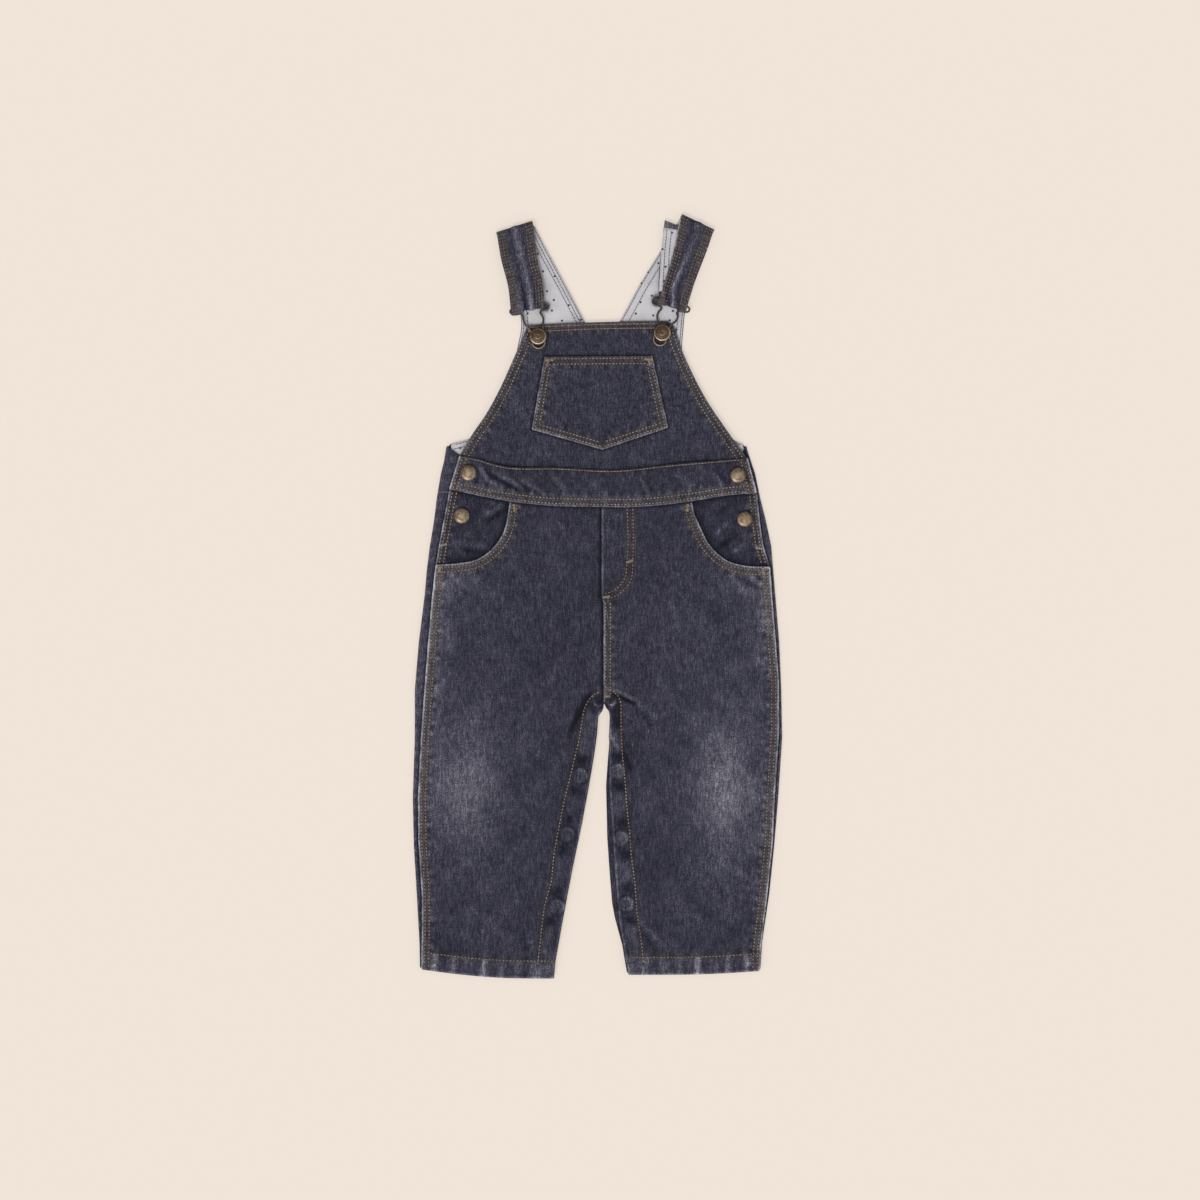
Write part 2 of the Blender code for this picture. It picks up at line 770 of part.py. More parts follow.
def wrap_guides(side, top, bottom, step, outline):
    """Lines along the wrap, where the outline holds them."""
    turn = math.pi * FOLD_RADIUS
    lines = [unrolled_line(side, top, bottom, step, turn * k / WRAP_STEPS) for k in range(WRAP_STEPS + 1)]
    return [line[inside(line, outline)] for line in lines]


def add_backs(collection):
    """The back of each leg, from the waist seam to the hem, wrapped round the side."""
    for side in ("left", "right"):
        column, sign = side_of(side)
        hem = hem_of(side) + (0.0, BACK_HEM_RISE)
        hem_outer = hem[0][1]
        strip = unrolled_end(side, WAIST_SEAM_Y - GAP, hem_outer, SIDE_STEP)
        y = np.linspace(CROTCH_Y - 3.0, hem[-1][1], INSEAM_STEPS)
        inner_x = column_at(INSEAM_ROWS, y, column) + column_at(BACK_SHOW_ROWS, y, column)
        inseam = np.column_stack((inner_x, y))
        clearance = 0.0 if side == "left" else GAP
        centre = (
            (CROTCH_SEAM_X + clearance, CROTCH_Y),
            (CROTCH_SEAM_X + clearance, FLY_FOOT_Y),
            (CROTCH_SEAM_X + clearance, WAIST_SEAM_Y - GAP),
        )
        waist = wrap_edge(side, WAIST_SEAM_Y - GAP, WAIST_SEAM_Y - GAP)
        turn = wrap_edge(side, hem_outer, hem_outer)
        outline = joined(strip, turn, hem[1:-1], inseam[::-1], centre, waist[::-1])

        def place(points, side=side):
            x, z = wrap_side(points, side)
            return np.column_stack((x, points[:, 1], z))

        guides = wrap_guides(side, WAIST_SEAM_Y - 2.0, hem_outer + 1.0, SIDE_STEP, outline)
        add_sheet(f"back_{side}", outline, BACK_SPACING, place, "denim", collection, guides, skin_out=True)


def back_bib_outline():
    """Waist seam, wrapped sides, armholes, shoulders and neck, unrolled."""
    strips = {}
    for side in ("left", "right"):
        strips[side] = unrolled_end(side, WRAP_END_Y, WAIST_SEAM_Y, WRAP_STEP)
    neck_left = curve_through(NECK_LEFT, NECK_STEP)
    neck_right = curve_through(NECK_RIGHT, NECK_STEP)
    armhole_left = curve_through(ARMHOLE_LEFT, NECK_STEP)
    armhole_right = curve_through(ARMHOLE_RIGHT, NECK_STEP)
    return joined(
        strips["left"],
        wrap_edge("left", WAIST_SEAM_Y, WAIST_SEAM_Y),
        wrap_edge("right", WAIST_SEAM_Y, WAIST_SEAM_Y)[::-1],
        strips["right"][::-1],
        wrap_edge("right", WRAP_TOP_Y, SIDE_TOP_Y),
        armhole_right[::-1],
        neck_right,
        neck_left[::-1],
        armhole_left,
        wrap_edge("left", WRAP_TOP_Y, SIDE_TOP_Y)[::-1],
    )


def add_back_bib(collection):
    outline = back_bib_outline()

    def place(points):
        left_x, left_z = wrap_side(points, "left")
        right_x, right_z = wrap_side(points, "right")
        low = points[:, 1] < SIDE_TOP_Y + TUCK
        x = np.where(low & (points[:, 0] < 0), left_x, np.where(low & (points[:, 0] > 0), right_x, points[:, 0]))
        z = np.where(low, np.maximum(left_z, right_z), 0.0)
        return np.column_stack((x, points[:, 1], z))

    guides = []
    for side in ("left", "right"):
        guides += wrap_guides(side, SIDE_TOP_Y, WAIST_SEAM_Y + 1.0, WRAP_STEP, outline)
    add_sheet("back_bib", outline, BACK_SPACING, place, "denim", collection, guides, skin_out=True)


def add_back_lining(collection):
    """The pale cotton inside the back bib, flush with its neck and armhole edges."""
    shoulder_left, shoulder_right = LINING_SHOULDERS["left"], LINING_SHOULDERS["right"]
    neck_left = curve_through(shoulder_left[1:] + NECK_LEFT[1:], NECK_STEP)
    neck_right = curve_through(shoulder_right[1:] + NECK_RIGHT[1:], NECK_STEP)
    armhole_left = curve_through(shoulder_left[:1] + ARMHOLE_LEFT[1:], NECK_STEP) + (LINING_INSET, 0.0)
    armhole_right = curve_through(shoulder_right[:1] + ARMHOLE_RIGHT[1:], NECK_STEP) - (LINING_INSET, 0.0)
    outline = joined(LINING_LOWER, armhole_right[::-1], neck_right, neck_left[::-1], armhole_left)

    def place(points):
        return np.column_stack((points, np.full(len(points), LINING_REST)))

    add_sheet("back_lining", outline, BACK_SPACING, place, "lining", collection)


def turn_stations(row, inward, radius, z_start, rising):
    """Sections of a strap that turns back on itself round a line."""
    left, right = np.array(row[:2]), np.array(row[2:])
    stations = []
    for k in range(TURN_STEPS + 1):
        angle = math.pi * k / TURN_STEPS
        shift = inward * radius * (1.0 - math.sin(angle))
        z = z_start + (radius - radius * math.cos(angle)) * (1 if rising else -1)
        stations.append((left + shift, right + shift, z, 0.0))
    return stations


def strap_inward(row, towards):
    """Unit direction across a turn line, pointing to the rest of the strap."""
    across = np.array((row[2] - row[0], row[3] - row[1]))
    normal = np.array((-across[1], across[0])) / np.hypot(*across)
    centre = np.array(((row[0] + row[2]) / 2, (row[1] + row[3]) / 2))
    return normal if normal @ (np.array(towards) - centre) > 0 else -normal


def strap_stations(strap):
    """The strap's outer skin, from the back, over the shoulder, to the buckle and back up."""
    middle = strap["front"][0][:2]
    shoulder_in = strap_inward(strap["shoulder"], middle)
    buckle_in = strap_inward(strap["turn"], middle)
    start = strap["start"]
    stations = [(np.array(start[:2]), np.array(start[2:]), 0.0, 0.0)]
    stations += turn_stations(strap["shoulder"], shoulder_in, STRAP_TOP / 2, 0.0, True)
    heights = np.linspace(STRAP_TOP, STRAP_TOP_AT_BUCKLE, len(strap["front"]) + 2)[1:-1]
    for row, z in zip(strap["front"], heights):
        stations.append((np.array(row[:2]), np.array(row[2:]), z, 1.0))
    turn_radius = (STRAP_TOP_AT_BUCKLE - RETURN_REST) / 2
    stations += turn_stations(strap["turn"], buckle_in, turn_radius, STRAP_TOP_AT_BUCKLE, False)
    for row in strap["return"]:
        stations.append((np.array(row[:2]), np.array(row[2:]), RETURN_REST, 0.0))
    return stations


def add_straps(collection):
    for side, strap in STRAPS.items():
        stations = strap_stations(strap)
        shape = bmesh.new()
        bmesh.ops.create_grid(shape, x_segments=STRAP_COLUMNS, y_segments=len(stations) - 1, size=1.0)
        for vert in shape.verts:
            column = (vert.co.x + 1.0) / 2
            row = round((vert.co.y + 1.0) / 2 * (len(stations) - 1))
            left, right, z, creased = stations[row]
            x, y = left + (right - left) * column
            crease = max(0.0, 1.0 - abs(column - strap["crease"]) / CREASE_SPREAD)
            vert.co = centred(x, y, z + creased * STRAP_CREASE * crease)
        bmesh.ops.reverse_faces(shape, faces=shape.faces)
        mesh = bpy.data.meshes.new(f"strap_{side}")
        shape.to_mesh(mesh)
        shape.free()
        item = add_object(f"strap_{side}", mesh, "denim", collection)
        wall = item.modifiers.new("Cloth", "SOLIDIFY")
        wall.thickness = CLOTH * MM
        wall.offset = -1.0


def add_strap_end_lining(collection):
    """The pale cotton on the free end of the right strap."""
    top, bottom = END_LINING_ROWS[0][0], END_LINING_ROWS[-1][0]
    left = rows_line(END_LINING_ROWS, 1, top, bottom, NECK_STEP)
    right = rows_line(END_LINING_ROWS, 2, top, bottom, NECK_STEP)
    left[0][1] += END_LINING_SLANT

    def place(points):
        return np.column_stack((points, np.full(len(points), RETURN_REST + LAP)))

    add_sheet("strap_end_lining_right", joined(left, right[::-1]), SMALL_SPACING, place, "lining", collection)


def add_buckles(collection):
    """One closed wire each: a bar inside the strap's turn and a keyhole round the button."""
    for side, buckle in BUCKLES.items():
        lobe_x, lobe_y, lobe_radius = buckle["lobe"]
        points = [(*point, BAR_Z) for point in np.linspace(*buckle["bar"], BAR_STEPS)]
        points += buckle["left side"]
        for k in range(KEYHOLE_STEPS + 1):
            angle = math.radians(KEYHOLE_START + KEYHOLE_SWEEP * k / KEYHOLE_STEPS)
            x = lobe_x + lobe_radius * math.cos(angle)
            points.append((x, lobe_y + lobe_radius * math.sin(angle), KEYHOLE_Z))
        points += buckle["right side"]
        data = bpy.data.curves.new(f"buckle_{side}", "CURVE")
        data.dimensions = "3D"
        data.bevel_depth = WIRE_RADIUS * MM
        data.bevel_resolution = 2
        spline = data.splines.new("POLY")
        spline.points.add(len(points) - 1)
        for target, point in zip(spline.points, points):
            target.co = (*centred(*point), 1.0)
        spline.use_cyclic_u = True
        add_object(f"buckle_{side}", data, "wire", collection)


def turned(name, profile, steps, x, y, finish, collection):
    """A round solid: its profile, from the top down the outer side, turned about Z."""
    mesh = bpy.data.meshes.new(name)
    points = [(radius * MM, 0.0, z * MM) for radius, z in profile]
    mesh.from_pydata(points, [(k, k + 1) for k in range(len(points) - 1)], [])
    item = add_object(name, mesh, finish, collection)
    item.location = centred(x, y, 0.0)
    screw = item.modifiers.new("Turn", "SCREW")
    screw.steps = steps
    screw.render_steps = steps
    screw.use_merge_vertices = True
    screw.merge_threshold = 0.00001
    return item


def add_buttons(collection):
    for name, x, y, radius, cloth_top, neck in BUTTONS:
        foot = cloth_top + GAP
        under = foot + neck
        profile = [(radius * share, under + height) for share, height in BUTTON_CAP]
        profile += [(BUTTON_NECK_RADIUS, under), (BUTTON_NECK_RADIUS, foot), (0.0, foot)]
        turned(name, profile, BUTTON_STEPS, x, y, "brass", collection)


def add_snaps(collection):
    for name, x, y in SNAPS:
        foot = BACK_REST + CLOTH + GAP
        top = FRONT_REST - GAP
        profile = (
            (0.0, top),
            (SNAP_RADIUS * SNAP_FLAT, top),
            (SNAP_RADIUS, top - SNAP_BEVEL),
            (SNAP_RADIUS, foot + SNAP_BEVEL),
            (SNAP_RADIUS * SNAP_FLAT, foot),
            (0.0, foot),
        )
        turned(name, profile, SNAP_STEPS, x, y, "wire", collection)


def main():
    clear_scene()
    collection = new_collection("overalls")
    add_backs(collection)
    add_back_bib(collection)
    add_back_lining(collection)
    add_facings(collection)
    add_fronts(collection)
    add_bib(collection)
    add_waist_panel(collection)
    add_bib_pocket(collection)
    add_straps(collection)
    add_strap_end_lining(collection)
    add_buckles(collection)
    add_buttons(collection)
    add_snaps(collection)


main()
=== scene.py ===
"""Looks of the toddler's denim dungarees, laid flat with the front up.

Every cloth piece is a fine shell on its solid's form. Lengths in the tables are millimetres
on the garment: X across it, Y from the hems to the straps, Z up from the surface.
"""
import math

import bmesh
import bpy
import numpy as np
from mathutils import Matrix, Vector
from mathutils.geometry import delaunay_2d_cdt


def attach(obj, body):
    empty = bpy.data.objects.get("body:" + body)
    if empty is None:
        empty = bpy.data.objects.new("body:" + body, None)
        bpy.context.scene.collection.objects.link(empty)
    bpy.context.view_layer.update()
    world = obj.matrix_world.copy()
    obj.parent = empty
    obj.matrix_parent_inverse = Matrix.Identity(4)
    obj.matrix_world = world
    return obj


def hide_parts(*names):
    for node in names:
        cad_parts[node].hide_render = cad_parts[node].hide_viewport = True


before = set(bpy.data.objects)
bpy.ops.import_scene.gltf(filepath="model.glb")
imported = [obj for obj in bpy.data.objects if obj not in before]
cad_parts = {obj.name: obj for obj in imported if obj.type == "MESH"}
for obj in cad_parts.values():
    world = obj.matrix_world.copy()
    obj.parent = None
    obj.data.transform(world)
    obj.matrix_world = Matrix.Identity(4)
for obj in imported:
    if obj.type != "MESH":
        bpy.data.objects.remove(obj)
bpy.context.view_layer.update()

MM = 0.001
CENTRE_X = -0.412
CENTRE_Y = 0.05

# Layers
CLOTH = 1.0
GAP = 0.3
FOLD_RADIUS = 1.8
LINING_REST = CLOTH + GAP
FRONT_REST = 2 * FOLD_RADIUS + GAP
LAP = CLOTH + GAP
WAIST_REST = FRONT_REST + LAP
BIB_TOP_REST = LINING_REST + LAP + GAP
RETURN_REST = LINING_REST + LAP
STRAP_TOP = RETURN_REST + LAP + LAP + CLOTH
STRAP_TOP_AT_BUCKLE = 7.6
BAND_RELIEF = 0.4
TUCK = 6.0
FACING_TUCK = 7.0
HEM_BAND = 13.0
BIB_HEM_BAND = 7.0
WAIST_BAND = 8.5

# Mesh sizes: what shows from above is fine, what lies on the surface is coarser
FINE = 1.5
COARSE = 3.4
LINING_STEP = 2.4
# How far in from an outline the rows of rim points lie, the least share of that, and their spacing
RIM_STEPS = (0.55, 1.2, 1.9)
RIM_SHARE = 0.93
RIM_APART = 0.45
RIM_WIDTH = 1.25

SIDE_ROWS = (
    (113.5, -113.3, 111.0), (109.5, -114.0, 111.8), (100.5, -115.5, 114.8), (91.5, -117.8, 117.8),
    (73.5, -120.8, 121.5), (55.5, -123.0, 126.0), (37.5, -126.0, 129.8), (19.5, -128.3, 131.3),
    (1.5, -129.8, 132.8), (-34.5, -134.3, 135.8), (-70.5, -137.3, 137.3), (-106.5, -137.3, 138.0),
    (-151.5, -138.8, 135.0), (-187.5, -138.0, 132.0), (-223.5, -135.8, 128.3), (-259.5, -133.8, 123.0),
    (-286.0, -133.3, 121.3),
)
FRONT_SIDE_ROWS = (
    (113.5, -101.0, 106.5), (104.5, -103.5, 111.8), (78.0, -111.2, 118.7), (51.8, -116.2, 121.4),
    (37.5, -118.9, 123.6), (21.8, -121.5, 128.6), (-3.0, -124.3, 130.4), (-63.0, -129.2, 135.2),
    (-100.0, -132.0, 135.4), (-152.0, -134.6, 132.0), (-184.0, -134.2, 130.7), (-225.0, -131.6, 126.4),
    (-262.0, -131.7, 122.0), (-286.0, -132.4, 120.8),
)
INSEAM_ROWS = (
    (-79.0, 4.0, 4.4), (-83.5, 3.9, 6.2), (-86.0, 3.0, 8.4), (-90.0, 0.0, 9.0), (-103.5, -0.9, 8.5),
    (-119.0, -3.0, 8.2), (-143.0, -7.1, 8.4), (-169.5, -12.0, 10.4), (-205.5, -19.5, 12.8),
    (-241.5, -26.3, 15.7), (-273.0, -31.9, 20.8), (-286.0, -33.2, 23.2),
)
BACK_SHOW_ROWS = (
    (-84.0, -0.8, 1.6), (-110.0, -0.8, 0.2), (-140.0, -0.8, -2.2), (-180.0, -0.8, -4.2),
    (-230.0, -0.8, -4.2), (-262.0, -0.8, -0.8), (-286.0, -0.8, -0.8),
)
HEMS = {
    "left": ((-132.2, -279.3), (-108.0, -282.5), (-71.0, -285.6), (-33.0, -286.1)),
    "right": ((120.9, -280.5), (85.4, -282.6), (38.8, -283.3), (23.0, -283.3)),
}
FLY_EDGE_X = 2.65
FLY_FOOT_Y = 0.0
CROTCH_SEAM_X = 4.05
CROTCH_Y = -79.0
OPENINGS = {
    "left": (
        (-66.0, 69.8), (-67.1, 61.8), (-70.7, 47.3), (-78.8, 35.5), (-90.7, 27.2), (-105.0, 24.3),
        (-121.2, 23.3),
    ),
    "right": (
        (70.4, 69.1), (71.6, 62.5), (75.0, 54.5), (84.0, 37.3), (96.8, 26.3), (109.5, 22.6), (128.4, 21.8),
    ),
}
WAIST_LOWER = (
    (-111.2, 80.0), (-66.2, 70.9), (-39.0, 67.9), (-2.3, 66.8), (29.6, 66.8), (75.0, 71.8), (94.1, 75.0),
    (118.7, 77.3),
)
WAIST_UPPER = (
    (-103.5, 105.0), (-93.4, 103.4), (-71.6, 97.4), (-29.8, 96.2), (12.8, 94.4), (54.0, 98.4),
    (94.1, 101.9), (111.8, 103.5),
)
BIB_TOP = ((-52.4, 202.6), (-2.0, 204.8), (52.3, 205.6))
BIB_LEFT = (
    (-52.4, 202.6), (-58.5, 188.0), (-65.3, 172.5), (-73.5, 154.5), (-83.3, 136.5), (-94.5, 120.0),
    (-103.5, 105.0),
)
BIB_RIGHT = (
    (57.0, 201.3), (63.8, 181.5), (72.0, 163.5), (81.8, 145.5), (93.8, 127.5), (104.5, 112.5),
    (110.8, 103.8),
)
BIB_POCKET = ((-39.9, 178.9), (-49.4, 124.7), (3.2, 109.6), (52.3, 126.0), (40.5, 179.6))
NECK_LEFT = ((-44.5, 270.9), (-38.1, 259.0), (-26.7, 237.8), (-10.4, 207.0), (2.3, 184.5))
NECK_RIGHT = ((56.0, 274.2), (47.0, 259.0), (31.1, 233.0), (17.3, 207.8), (2.3, 184.5))
ARMHOLE_LEFT = (
    (-72.8, 261.9), (-65.0, 236.0), (-58.0, 211.0), (-57.4, 201.8), (-60.0, 187.5), (-71.0, 145.5),
    (-81.0, 127.5), (-92.5, 119.5), (-110.5, 114.0),
)
ARMHOLE_RIGHT = (
    (82.0, 260.0), (73.5, 238.0), (65.3, 213.4), (63.8, 199.5), (62.9, 186.6), (71.0, 150.0),
    (83.0, 131.0), (102.3, 116.8), (108.5, 113.8),
)
WAIST_SEAM_Y = 78.0
SIDE_TOP_Y = 112.5
WRAP_TOP_Y = 111.5
WRAP_END_Y = 102.0
LINING_INSET = 0.4
LINING_LOWER = (
    (-110.1, 113.6), (-110.4, 104.0), (-104.0, 84.0), (106.0, 84.0), (111.4, 104.0), (110.0, 109.0),
    (108.2, 113.6),
)

# Placket stitching down the inner legs: x, y
PLACKET_ROWS = {
    "left": (
        (1.2, -71.6), (-3.1, -73.8), (-6.8, -78.0), (-10.5, -85.7), (-11.9, -93.8), (-14.3, -108.0),
        (-18.2, -124.0), (-21.2, -137.0), (-25.2, -153.0), (-29.3, -173.5), (-33.2, -195.6),
        (-34.8, -212.5), (-39.5, -230.0), (-42.8, -254.6), (-45.3, -277.5),
    ),
    "right": (
        (8.2, -69.4), (12.0, -71.6), (16.3, -77.4), (17.2, -89.8), (17.3, -100.0), (18.3, -119.0),
        (20.2, -137.6), (21.5, -156.0), (23.4, -175.0), (25.3, -197.0), (27.2, -211.0), (29.5, -239.0),
        (32.3, -257.6), (34.1, -276.0),
    ),
}
FLY_J = ((21.8, 71.0), (21.8, 27.0), (20.0, 13.5), (15.0, 6.5), (9.5, 2.9), (4.2, 1.6))
FLY_J_OUTER = ((26.0, 71.0), (26.0, 27.0), (24.4, 11.5), (18.4, 3.6), (11.8, -0.6), (5.0, -2.4))

# Soft folds: x1, y1, x2, y2, height, width
FRONT_FOLDS = (
    (-80.0, 2.0, -52.0, -26.0, 0.5, 26.0),
    (-30.0, -84.0, -52.0, -120.0, 0.6, 24.0),
    (-112.0, -92.0, -84.0, -126.0, 0.5, 30.0),
    (-104.0, -170.0, -76.0, -206.0, 0.6, 30.0),
    (-60.0, -226.0, -92.0, -258.0, 0.5, 26.0),
    (16.0, -80.0, 42.0, -112.0, 0.6, 22.0),
    (62.0, 0.0, 92.0, -28.0, 0.5, 26.0),
    (112.0, -100.0, 82.0, -134.0, 0.5, 30.0),
    (104.0, -176.0, 72.0, -208.0, 0.6, 30.0),
    (52.0, -222.0, 80.0, -252.0, 0.5, 26.0),
)
FRONT_CREASES = (
    (8.0, -69.0, 17.0, -72.5, 1.1, 4.5),
    (15.0, -71.8, 30.0, -78.5, 1.0, 5.0),
    (9.0, -71.8, 29.0, -80.6, -1.0, 4.5),
    (28.0, -78.0, 46.0, -92.0, 0.5, 9.0),
    (28.0, -82.0, 40.0, -96.0, -0.45, 8.0),
    (-5.0, -71.5, -16.0, -92.0, -1.0, 8.0),
    (-16.0, -90.0, -22.0, -104.0, -0.8, 8.0),
    (-19.0, -85.0, -23.0, -99.0, 0.5, 6.0),
    (-6.0, -70.3, -20.0, -71.5, 0.4, 5.0),
    (-26.0, -66.0, -40.0, -84.0, 0.35, 9.0),
    (18.9, -110.4, 22.6, -118.0, 0.5, 4.5),
    (22.6, -118.0, 31.5, -139.0, 0.5, 5.0),
    (19.5, -117.0, 28.0, -140.0, -0.5, 6.0),
    (9.6, -104.2, 15.6, -115.6, 0.75, 3.4),
    (8.4, -107.0, 13.6, -117.0, -0.4, 4.0),
    (26.0, -132.0, 40.0, -160.0, 0.25, 12.0),
    (-22.0, -112.0, -36.0, -136.0, 0.3, 12.0),
    (-30.0, 57.0, -23.3, 46.5, 0.45, 6.0),
    (-27.0, 59.0, -20.0, 48.0, -0.35, 6.0),
    (109.5, 17.3, 122.3, 9.8, 0.55, 6.0),
    (106.0, 13.6, 120.0, 5.6, -0.45, 6.0),
    (98.0, 16.0, 112.0, 2.0, 0.4, 8.0),
    (-112.0, 16.0, -98.0, 6.0, 0.45, 7.0),
    (-110.0, 11.0, -96.0, 1.0, -0.3, 7.0),
    (-64.0, 22.0, -50.0, 8.0, 0.3, 9.0),
    (46.0, 30.0, 60.0, 12.0, 0.3, 9.0),
    (-52.1, -253.0, -48.0, -265.0, 0.6, 5.0),
    (-56.0, -256.0, -52.5, -266.0, -0.45, 5.0),
    (32.3, -243.0, 52.0, -265.0, 0.6, 6.0),
    (30.0, -250.0, 46.0, -267.0, -0.5, 6.0),
    (114.0, -254.0, 107.0, -266.0, 0.5, 5.0),
    (-100.0, -246.0, -92.0, -264.0, 0.35, 7.0),
    (-112.0, -60.0, -124.0, -74.0, 0.45, 7.0),
    (-118.0, -28.0, -128.0, -40.0, 0.4, 6.0),
    (118.0, -44.0, 131.0, -58.0, 0.45, 7.0),
    (120.0, -10.0, 128.0, -26.0, 0.35, 7.0),
    (-96.0, -196.0, -118.0, -214.0, 0.35, 9.0),
    (-84.0, -222.0, -112.0, -236.0, -0.3, 12.0),
    (88.0, -196.0, 112.0, -212.0, 0.35, 9.0),
    (84.0, -214.0, 106.0, -232.0, -0.3, 12.0),
)
WAIST_FOLDS = (
    (-88.0, 96.0, -83.0, 88.0, 0.7, 5.0),
    (-84.0, 89.0, -76.0, 82.0, 0.7, 5.0),
    (-84.5, 95.0, -79.0, 86.0, -0.6, 5.0),
    (-81.0, 91.5, -59.0, 78.5, -0.8, 5.5),
    (-77.0, 92.5, -57.0, 82.0, 0.6, 5.5),
    (-58.9, 88.0, -40.8, 77.0, 0.5, 5.5),
    (-62.0, 86.0, -44.0, 76.0, -0.45, 5.5),
    (-34.0, 90.0, -22.0, 77.0, 0.3, 7.0),
    (-6.0, 88.0, 6.0, 76.0, 0.25, 7.0),
    (31.3, 89.5, 37.0, 78.0, 0.55, 4.5),
    (35.3, 89.0, 41.0, 77.5, -0.45, 5.0),
    (58.0, 92.0, 74.0, 80.0, 0.35, 7.0),
    (84.0, 95.0, 92.0, 84.0, 0.4, 6.0),
    (88.0, 96.0, 96.0, 85.0, -0.35, 6.0),
)
BIB_FOLDS = (
    (-52.0, 112.0, -22.0, 101.0, 0.4, 16.0),
    (-86.0, 118.0, -62.0, 106.0, 0.4, 9.0),
    (-82.0, 112.0, -60.0, 102.0, -0.4, 8.0),
    (66.0, 150.0, 84.0, 122.0, 0.4, 16.0),
    (-60.0, 150.0, -72.0, 128.0, 0.35, 10.0),
    (60.0, 118.0, 88.0, 108.0, 0.35, 9.0),
    (-38.0, 192.0, -20.0, 186.0, 0.25, 8.0),
    (10.0, 196.0, 34.0, 186.0, 0.25, 9.0),
    (-30.0, 104.0, -12.0, 98.0, -0.3, 7.0),
    (24.0, 106.0, 44.0, 100.0, 0.3, 8.0),
)
POCKET_FOLDS = (
    (-40.0, 138.0, -28.0, 128.0, 0.35, 6.0),
    (-20.0, 124.0, -14.0, 132.0, 0.35, 5.0),
    (-3.0, 117.0, 1.0, 127.0, 0.45, 4.0),
    (14.0, 119.0, 18.0, 128.0, 0.35, 4.5),
    (30.0, 124.0, 34.0, 134.0, 0.35, 5.0),
    (34.0, 160.0, 26.0, 150.0, 0.25, 7.0),
    (-34.0, 172.0, -20.0, 166.0, 0.25, 8.0),
)
FACING_FOLDS = (
    (-84.8, 55.5, -66.0, 66.0, -0.7, 7.0),
    (-86.0, 60.0, -70.0, 69.0, 0.5, 6.0),
    (-108.0, 42.0, -84.0, 36.0, 0.5, 7.0),
    (-104.0, 36.0, -84.0, 31.0, -0.5, 6.0),
    (90.0, 36.0, 104.0, 46.0, -0.7, 7.0),
    (86.0, 44.0, 98.0, 56.0, 0.55, 6.0),
    (98.0, 32.0, 112.0, 40.0, 0.5, 6.0),
    (84.0, 58.0, 98.0, 68.0, -0.4, 6.0),
)

# Snaps press a ring into the front placket: x, y
SNAP_MARKS = {
    "left": ((-13.2, -134.3), (-23.3, -178.5), (-30.6, -232.5)),
    "right": ((14.6, -131.1), (17.2, -181.5), (21.4, -230.6)),
}
SNAP_RADIUS = 4.9
CROTCH_MARKS = {"left": ((0.3, -79.0),), "right": ((10.0, -78.4),)}
CROTCH_RADIUS = 3.2
# How each mark is pressed: places, radius, rise, its inner edge, dip, its edge and its floor's edge
PRESSED_MARKS = (
    (SNAP_MARKS, SNAP_RADIUS, 0.4, 1.0, 0.15, 3.6, 1.8),
    (CROTCH_MARKS, CROTCH_RADIUS, 0.35, 0.8, 0.3, 2.6, 1.2),
)
MARK_SPREAD = 0.9
# Painted shade under the folds that gather at the crotch: x1, y1, x2, y2, width, depth
CROTCH_SHADES = {
    "left": (
        (-2.5, -71.5, -8.0, -76.5, 1.5, 0.7),
        (-8.0, -76.5, -14.0, -87.0, 2.6, 0.75),
        (-14.0, -87.0, -17.5, -97.0, 3.4, 0.4),
        (-5.5, -81.0, -3.5, -86.5, 2.0, 0.7),
        (3.2, -80.0, 2.0, -84.0, 1.8, 0.9),
    ),
    "right": (
        (10.5, -72.0, 17.0, -75.5, 1.6, 1.4),
        (17.0, -75.5, 27.0, -80.5, 1.5, 1.2),
        (14.8, -76.0, 15.8, -96.0, 2.6, 1.1),
        (11.0, -85.5, 12.4, -97.0, 2.8, 0.8),
        (17.5, -104.0, 25.0, -128.0, 2.4, 0.7),
        (6.0, -83.0, 8.0, -86.0, 1.5, 0.8),
    ),
}
BAR_OFF_SNAP = 11.2
BAR_WIDTH = 4.2

# Knee fades: x, y, half width, half height, strength
FADES = (
    (-101.6, -141.3, 19.0, 30.0, 0.28),
    (-98.0, -136.0, 30.0, 56.0, 0.20),
    (-86.0, -118.0, 40.0, 70.0, 0.08),
    (97.5, -149.5, 17.0, 32.0, 0.36),
    (94.0, -144.0, 27.0, 62.0, 0.22),
    (84.0, -118.0, 40.0, 76.0, 0.08),
    (-118.0, -14.0, 10.0, 46.0, 0.26),
    (124.0, -10.0, 10.0, 50.0, 0.26),
    (-124.0, -150.0, 7.0, 120.0, 0.13),
    (123.0, -170.0, 8.0, 110.0, 0.13),
    (-104.0, 12.0, 22.0, 12.0, 0.16),
    (100.0, 10.0, 22.0, 12.0, 0.16),
    (-70.0, -40.0, 50.0, 60.0, 0.03),
    (66.0, -44.0, 46.0, 60.0, 0.04),
    (-86.0, -232.0, 34.0, 30.0, 0.06),
    (76.0, -226.0, 34.0, 30.0, 0.06),
)

